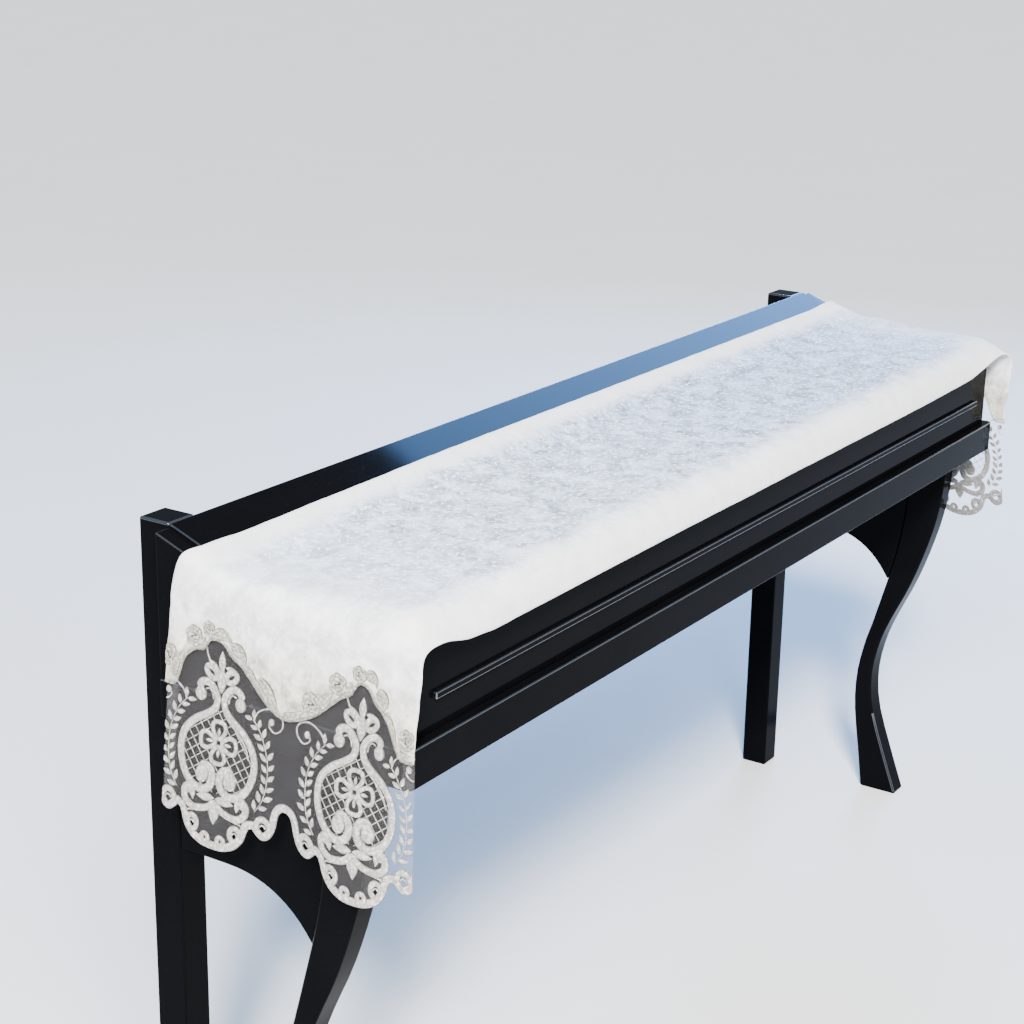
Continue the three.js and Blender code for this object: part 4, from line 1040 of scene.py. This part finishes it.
def sew_leaves(work, rows, sprays, finish):
    """Sews leaves along the sprays: one row leans one way, the next the other way half a step on."""
    leaf = Work()
    root = SPRAY_LEAF.off_stem
    line = Line([(root + share * SPRAY_LEAF.length, 0) for share in (0, 0.5, 1)])
    band(leaf, line, SPRAY_LEAF.width, "leaf", groove=GROOVE.spray_leaf, base=0)
    shape = new_object("spray_leaf", leaf.mesh("spray_leaf"))
    for lean, lead in ((-SPRAY_LEAF.lean, 0), (SPRAY_LEAF.lean, SPRAY_LEAF.pitch / 2)):
        paths = [spray[round(lead / STEM.step):] for spray in sprays]
        work.take(run_tree(rows, path_mesh(paths), Shape=shape, Pitch=SPRAY_LEAF.pitch, Turn=lean,
                           Turn_Spread=SPRAY_LEAF.turn_spread, End_Size=SPRAY_LEAF.tip,
                           Size_Spread=SPRAY_LEAF.size_spread, Seed=SPRAY_LEAF.seed, Finish=finish))
    bpy.data.objects.remove(shape)


def embroidery_flat(threads, rows, finish):
    """All the embroidery of one lace end, flat."""
    work = Work()
    for axis in AXES:
        motif(work, axis)
    braid(work, hem_line())
    lattice = [line for axis in AXES for line in lattice_lines(axis)]
    sprays = both_hands(SPRAY, STEM.step)
    cords = both_hands(CURL, THREAD.step) + both_hands(CAP_STEM, THREAD.step, hands=(LEFT,))
    cords += both_hands(SWAG_STEM, THREAD.step) + both_hands(VOLUTE_LINING, THREAD.step)
    cords += both_hands(MEDALLION_LINING, THREAD.lining_step, hands=(RIGHT,))
    for lines, kind in ((lattice, LATTICE), (sprays, STEM), (cords, THREAD)):
        work.take(run_tree(threads, path_mesh(lines), Radius=kind.radius, Sides=kind.sides, Finish=finish))
    sew_leaves(work, rows, sprays, finish)
    mesh = work.mesh("embroidery")
    trim_selvages(mesh)
    return mesh


def tulle_top(across):
    """How far down the tulle starts, under the velvet's arched edge."""
    return arch_edge(across) - TULLE.overlap


def eyelet_holes():
    """The holes of the lace: across, down, half width and half height."""
    return [(axis + hand * out, down, wide, high) for axis in AXES for hand in (LEFT, RIGHT)
            for out, down, _, _, wide, high in EYELETS if 0 < axis + hand * out < COVER_WIDTH]


def tulle_flat():
    """The flat tulle of one lace end, open at its eyelets, with its selvages folded back."""
    hem = hem_line().spaced(TULLE.hem_step)
    hem = hem[(hem[:, 0] > TULLE.side_clear) & (hem[:, 0] < COVER_WIDTH - TULLE.side_clear)]
    outline = [(0, hem[0, 1])] + hem.tolist() + [(COVER_WIDTH, hem[-1, 1])]
    outline += [(across, tulle_top(across)) for across in np.linspace(COVER_WIDTH, 0, TULLE.top_points)]
    points = [Vector(point) for point in outline]
    loops = []
    holes = eyelet_holes()
    count = TULLE.hole_points
    for across, down, wide, high in holes:
        start = len(points)
        turns = np.linspace(0, 2 * math.pi, count, endpoint=False)
        points += [Vector((across + wide * math.cos(turn), down + high * math.sin(turn))) for turn in turns]
        loops += [(start + at, start + (at + 1) % count) for at in range(count)]
    for across in np.arange(TULLE.step / 2, COVER_WIDTH, TULLE.step):
        low = np.interp(across, hem[:, 0], hem[:, 1]) - TULLE.hem_clear
        for down in np.arange(tulle_top(across) + TULLE.step / 2, low, TULLE.step):
            points.append(Vector((across, down)))
    made = delaunay_2d_cdt(points, loops, [list(range(len(outline)))], INSIDE_ONLY, TULLE.weld)
    flat = np.array([tuple(point) for point in made[0]])
    faces = np.array(made[2])
    middle = flat[faces].mean(1)
    solid = np.ones(len(faces), bool)
    for across, down, wide, high in holes:
        solid &= ((middle[:, 0] - across) / wide) ** 2 + ((middle[:, 1] - down) / high) ** 2 > 1
    work = Work()
    add_sheet(work, flat, faces[solid], TULLE.front, TULLE.back)
    front = TULLE.back - TULLE.fold_gap
    for start in (0, COVER_WIDTH - TULLE.folded):
        add_sheet(work, *folded_selvage(start, hem), front, front - TULLE.front + TULLE.back)
    return work.mesh("tulle", "cloth")


def folded_selvage(start, hem):
    """The strip of tulle that is folded back along a selvage."""
    columns, rows = 6, 34
    across = np.linspace(start, start + TULLE.folded, columns)
    low = np.interp(across, hem[:, 0], hem[:, 1]) - BRAID.width / 2
    down = blend(tulle_top(across), low, np.linspace(0, 1, rows)[:, None])
    flat = np.stack([np.broadcast_to(across, down.shape), down], -1).reshape(-1, 2)
    faces = []
    for row in range(rows - 1):
        for column in range(columns - 1):
            corner = row * columns + column
            faces.append((corner, corner + 1, corner + columns + 1))
            faces.append((corner, corner + columns + 1, corner + columns))
    return flat, np.array(faces)


def add_sheet(work, flat, faces, front, back):
    """Adds a closed sheet between two heights over flat triangles, marked where it lies in a medallion."""
    count = len(flat)
    points = np.vstack([np.column_stack([flat, np.full(count, front)]),
                        np.column_stack([flat, np.full(count, back)])])
    directed = {(a, b) for face in faces.tolist() for a, b in zip(face, face[1:] + face[:1])}
    rim = [(a, b) for a, b in directed if (b, a) not in directed]
    sheet = faces.tolist() + [[count + corner for corner in face[::-1]] for face in faces.tolist()]
    sheet += [[b, a, count + a, count + b] for a, b in sorted(rim)]
    used = np.unique(np.concatenate([np.array(face) for face in sheet]))
    fresh = np.full(2 * count, -1)
    fresh[used] = np.arange(len(used))
    out = np.abs(np.mod(flat[:, 0] - AXES[0] + REPEAT / 2, REPEAT) - REPEAT / 2)
    inside = (out < medallion_reach(flat[:, 1])).astype(float)
    pattern = np.column_stack([np.vstack([flat, flat]), np.concatenate([inside, inside])])
    work.add(points[used], [fresh[face].tolist() for face in sheet], pattern[used])


def hang(flat, side, tucked=True):
    """A copy of flat work as it hangs at one end of the runner, tucked under the velvet or on its face."""
    mesh = flat.copy()
    across, down, height = read_vectors(mesh.attributes["position"]).T
    if tucked:
        covered = down < arch_edge(across) + STITCH.tuck
        height = np.where(covered, np.minimum(height, STITCH.under_velvet), height)
    move_points(mesh, draped(side * (DROP_START + down), across, height))
    turn_outwards(mesh)
    mesh.shade_smooth()
    return mesh


def rosette(work, across, down, radius, turn):
    """A rose of overlapping petals on a low dome."""
    size = radius / TRIM.radius
    around = np.linspace(0, 2 * math.pi, TRIM.segments, endpoint=False)
    points = [(across + out * radius * math.cos(angle), down + out * radius * math.sin(angle),
               TRIM.base + height * TRIM.dome) for out, height in ROSE_DOME for angle in around]
    faces = tube_faces(len(ROSE_DOME), TRIM.segments)
    faces.append(tuple(range(TRIM.segments)))
    faces.append(tuple(range(len(points) - TRIM.segments, len(points))))
    # The dome is marked as all flank, so the finish paints it as shade between the petals.
    work.add(points, faces, [(x, y, 1) for x, y, z in points])
    share = np.linspace(0, 1, TRIM.petal_points)
    for row in ROSE_PETALS:
        for petal in range(row.count):
            angle = turn + 2 * math.pi * petal / row.count + row.shift + row.sweep * share
            reach = size * (row.reach - row.curl * share)
            line = Line(np.column_stack([across + reach * np.cos(angle), down + reach * np.sin(angle)]))
            band(work, line, size * row.width, "oval", rise=row.rise, base=TRIM.base + row.base)


def feather(work, points, width):
    """A curved leaf of a few strokes side by side."""
    spine = Line(points)
    taper = np.sin(np.pi * np.linspace(*FEATHER.taper, FEATHER.points))[:, None]
    for offset, length in zip(FEATHER.strokes, FEATHER.lengths):
        walk = np.linspace(0, spine.length * length, FEATHER.points)
        line = Line(spine.at(walk) + offset * width * taper * spine.sideways(walk))
        band(work, line, width * FEATHER.width, "leaf", rise=FEATHER.rise, groove=GROOVE.feather,
             base=TRIM.base)


def trim_flat(rows, finish):
    """The roses and feathers along the arched edge, and the whipped stitches over the edge itself."""
    work = Work()
    for rose in ROSES:
        rosette(work, *rose)
    for points, width in FEATHERS:
        feather(work, points, width)
    edge = np.linspace(0, COVER_WIDTH, WHIP.edge_points)
    path = Line(np.column_stack([edge, arch_edge(edge) - WHIP.inset])).spaced(WHIP.step)
    stitch = Work()
    line = Line([(share * WHIP.length, 0) for share in (-0.5, 0, 0.5)])
    band(stitch, line, WHIP.width, "oval", rise=WHIP.rise, base=WHIP.base)
    shape = new_object("whip_stitch", stitch.mesh("whip_stitch"))
    work.take(run_tree(rows, path_mesh([path], VELVET), Shape=shape, Pitch=WHIP.pitch, Turn=WHIP.lean,
                       Turn_Spread=WHIP.turn_spread, End_Size=1.0, Size_Spread=WHIP.size_spread,
                       Seed=WHIP.seed, Finish=finish))
    bpy.data.objects.remove(shape)
    mesh = work.mesh("trim")
    trim_selvages(mesh)
    return mesh


def board(node, name, round_by, lacquer, edge):
    """A copy of a board with its edges rounded, and a painted highlight on the rounded faces that look up.
    """
    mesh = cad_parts[node].data.copy()
    work = bmesh.new()
    work.from_mesh(mesh)
    bmesh.ops.remove_doubles(work, verts=work.verts[:], dist=EDGES.weld * MM)
    bmesh.ops.dissolve_limit(work, angle_limit=EDGES.flat, verts=work.verts[:], edges=work.edges[:])
    work.to_mesh(mesh)
    work.free()
    mesh.shade_smooth()
    mesh.set_sharp_from_angle(angle=EDGES.sharp)
    mesh.materials.append(lacquer)
    mesh.materials.append(edge)
    mesh = rounded(mesh, round_by)
    # Painted highlight: rounded faces that look up, or all of them on one piece, take the glossier, paler
    # lacquer.
    least = -math.inf if name == HIGHLIGHT_ALL_OVER else HIGHLIGHT_FACING_UP
    highlighted = [face.material_index and face.normal.z > least for face in mesh.polygons]
    make_piece(name, mesh, lacquer, "black_lacquer", node)
    mesh.materials.append(edge)
    mesh.polygons.foreach_set("material_index", highlighted)


def rounded(mesh, round_by):
    """A copy of a mesh with its sharp edges rounded, in its second material."""
    carrier = new_object("carrier", mesh)
    bevel = carrier.modifiers.new("rounded edges", "BEVEL")
    bevel.width = round_by * MM
    bevel.segments = EDGES.segments
    bevel.limit_method = "ANGLE"
    bevel.angle_limit = EDGES.sharp
    bevel.harden_normals = True
    bevel.material = 1
    return finished_mesh(carrier)


def dress_shelf():
    lacquer = lacquer_finish("black_lacquer", gloss=1.06, deep=(0.0012, 0.0013, 0.0018, 1),
                             haze_tint=(0.003, 0.003, 0.0036, 1))
    # A painted highlight for rounded edges: the same lacquer, far glossier, paler and bluer.
    edge = lacquer_finish("rubbed_lacquer", gloss=1.9, deep=(0.004, 0.005, 0.007, 1),
                          haze_tint=(0.012, 0.014, 0.018, 1))
    for node, name, round_by in BOARDS:
        board(node, name, round_by, lacquer, edge)
    for node, name, round_by in PAIRED_BOARDS:
        for word in SIDE_NAMES.values():
            board(f"{node}_{word}", f"{word}_{name}", round_by, lacquer, edge)


def dress_cover():
    velvet = make_piece("velvet_runner", velvet_mesh(), velvet_finish(), "ivory_velvet", "velvet_panel")
    net = tulle_finish()
    # Their deep tints and flank shades paint shade between stitches, bands and petals, and their pale tints
    # paint highlights.
    silk = thread_finish("ivory_silk", pale=(0.98, 0.955, 0.90, 1), deep=(0.27, 0.26, 0.235, 1), pitch=0.9,
                         roughness=0.42, flank=0.66, flank_shade=0.36)
    cord = thread_finish("rosette_cord", pale=(0.86, 0.825, 0.74, 1), deep=(0.24, 0.225, 0.175, 1),
                         pitch=1.1, roughness=0.6, flank=0.45, flank_shade=0.08)
    rows = row_tree()
    flat_tulle = tulle_flat()
    flat_embroidery = embroidery_flat(thread_tree(), rows, silk)
    flat_trim = trim_flat(rows, cord)
    for side, word in SIDE_NAMES.items():
        tulle = make_piece("tulle_" + word, hang(flat_tulle, side), net, "embroidered_tulle",
                           "lace_end_" + word)
        stitched = make_piece("embroidery_" + word, hang(flat_embroidery, side), silk, "embroidered_tulle")
        make_piece("rosettes_" + word, hang(flat_trim, side, tucked=False), cord,
                                "rosette_trim", "rosette_border_" + word)
    for flat in (flat_tulle, flat_embroidery, flat_trim):
        bpy.data.meshes.remove(flat)


def lay_floor():
    mesh = bpy.data.meshes.new("floor")
    corners = [(FLOOR_REACH * x, FLOOR_REACH * y, 0) for x, y in ((-1, -1), (1, -1), (1, 1), (-1, 1))]
    mesh.from_pydata(corners, [], [(0, 1, 2, 3)])
    mesh.materials.append(floor_finish())
    new_object("floor", mesh)


def aim(light, way):
    light.rotation_euler = Vector(way).to_track_quat("-Z", "Y").to_euler()


def light_scene():
    world = bpy.data.worlds.new("soft_room")
    world.use_nodes = True
    background = world.node_tree.nodes["Background"]
    background.inputs["Color"].default_value = ROOM.tint
    background.inputs["Strength"].default_value = ROOM.strength
    bpy.context.scene.world = world
    sun = bpy.data.lights.new("window", "SUN")
    sun.energy = SUN.energy
    sun.angle = SUN.spread
    sun.color = SUN.tint
    aim(new_object("window", sun), SUN.way)
    for name, sizes in LAMPS.items():
        lamp = bpy.data.lights.new(name, "AREA")
        lamp.shape = "RECTANGLE"
        lamp.size, lamp.size_y = sizes.size
        lamp.energy = sizes.power
        lamp.color = sizes.tint
        light = new_object(name, lamp)
        light.location = sizes.place
        aim(light, Vector(sizes.target) - Vector(sizes.place))


def place_camera():
    yaw, pitch, roll = (math.radians(angle) for angle in (CAMERA.yaw, CAMERA.pitch, CAMERA.roll))
    ahead = Vector((math.sin(yaw) * math.cos(pitch), math.cos(yaw) * math.cos(pitch), -math.sin(pitch)))
    level = Vector((math.cos(yaw), -math.sin(yaw), 0))
    down = ahead.cross(level)
    right = math.cos(roll) * level + math.sin(roll) * down
    below = -math.sin(roll) * level + math.cos(roll) * down
    lens = bpy.data.cameras.new("camera")
    lens.sensor_width = SENSOR
    lens.lens = CAMERA.focal / IMAGE_WIDTH * SENSOR
    camera = new_object("camera", lens)
    turned = Matrix((right, -below, -ahead)).transposed().to_4x4()
    camera.matrix_world = Matrix.Translation(ORIGIN + MM * Vector(CAMERA.place)) @ turned
    bpy.context.scene.camera = camera


place_camera()
dress_shelf()
dress_cover()
lay_floor()
light_scene()
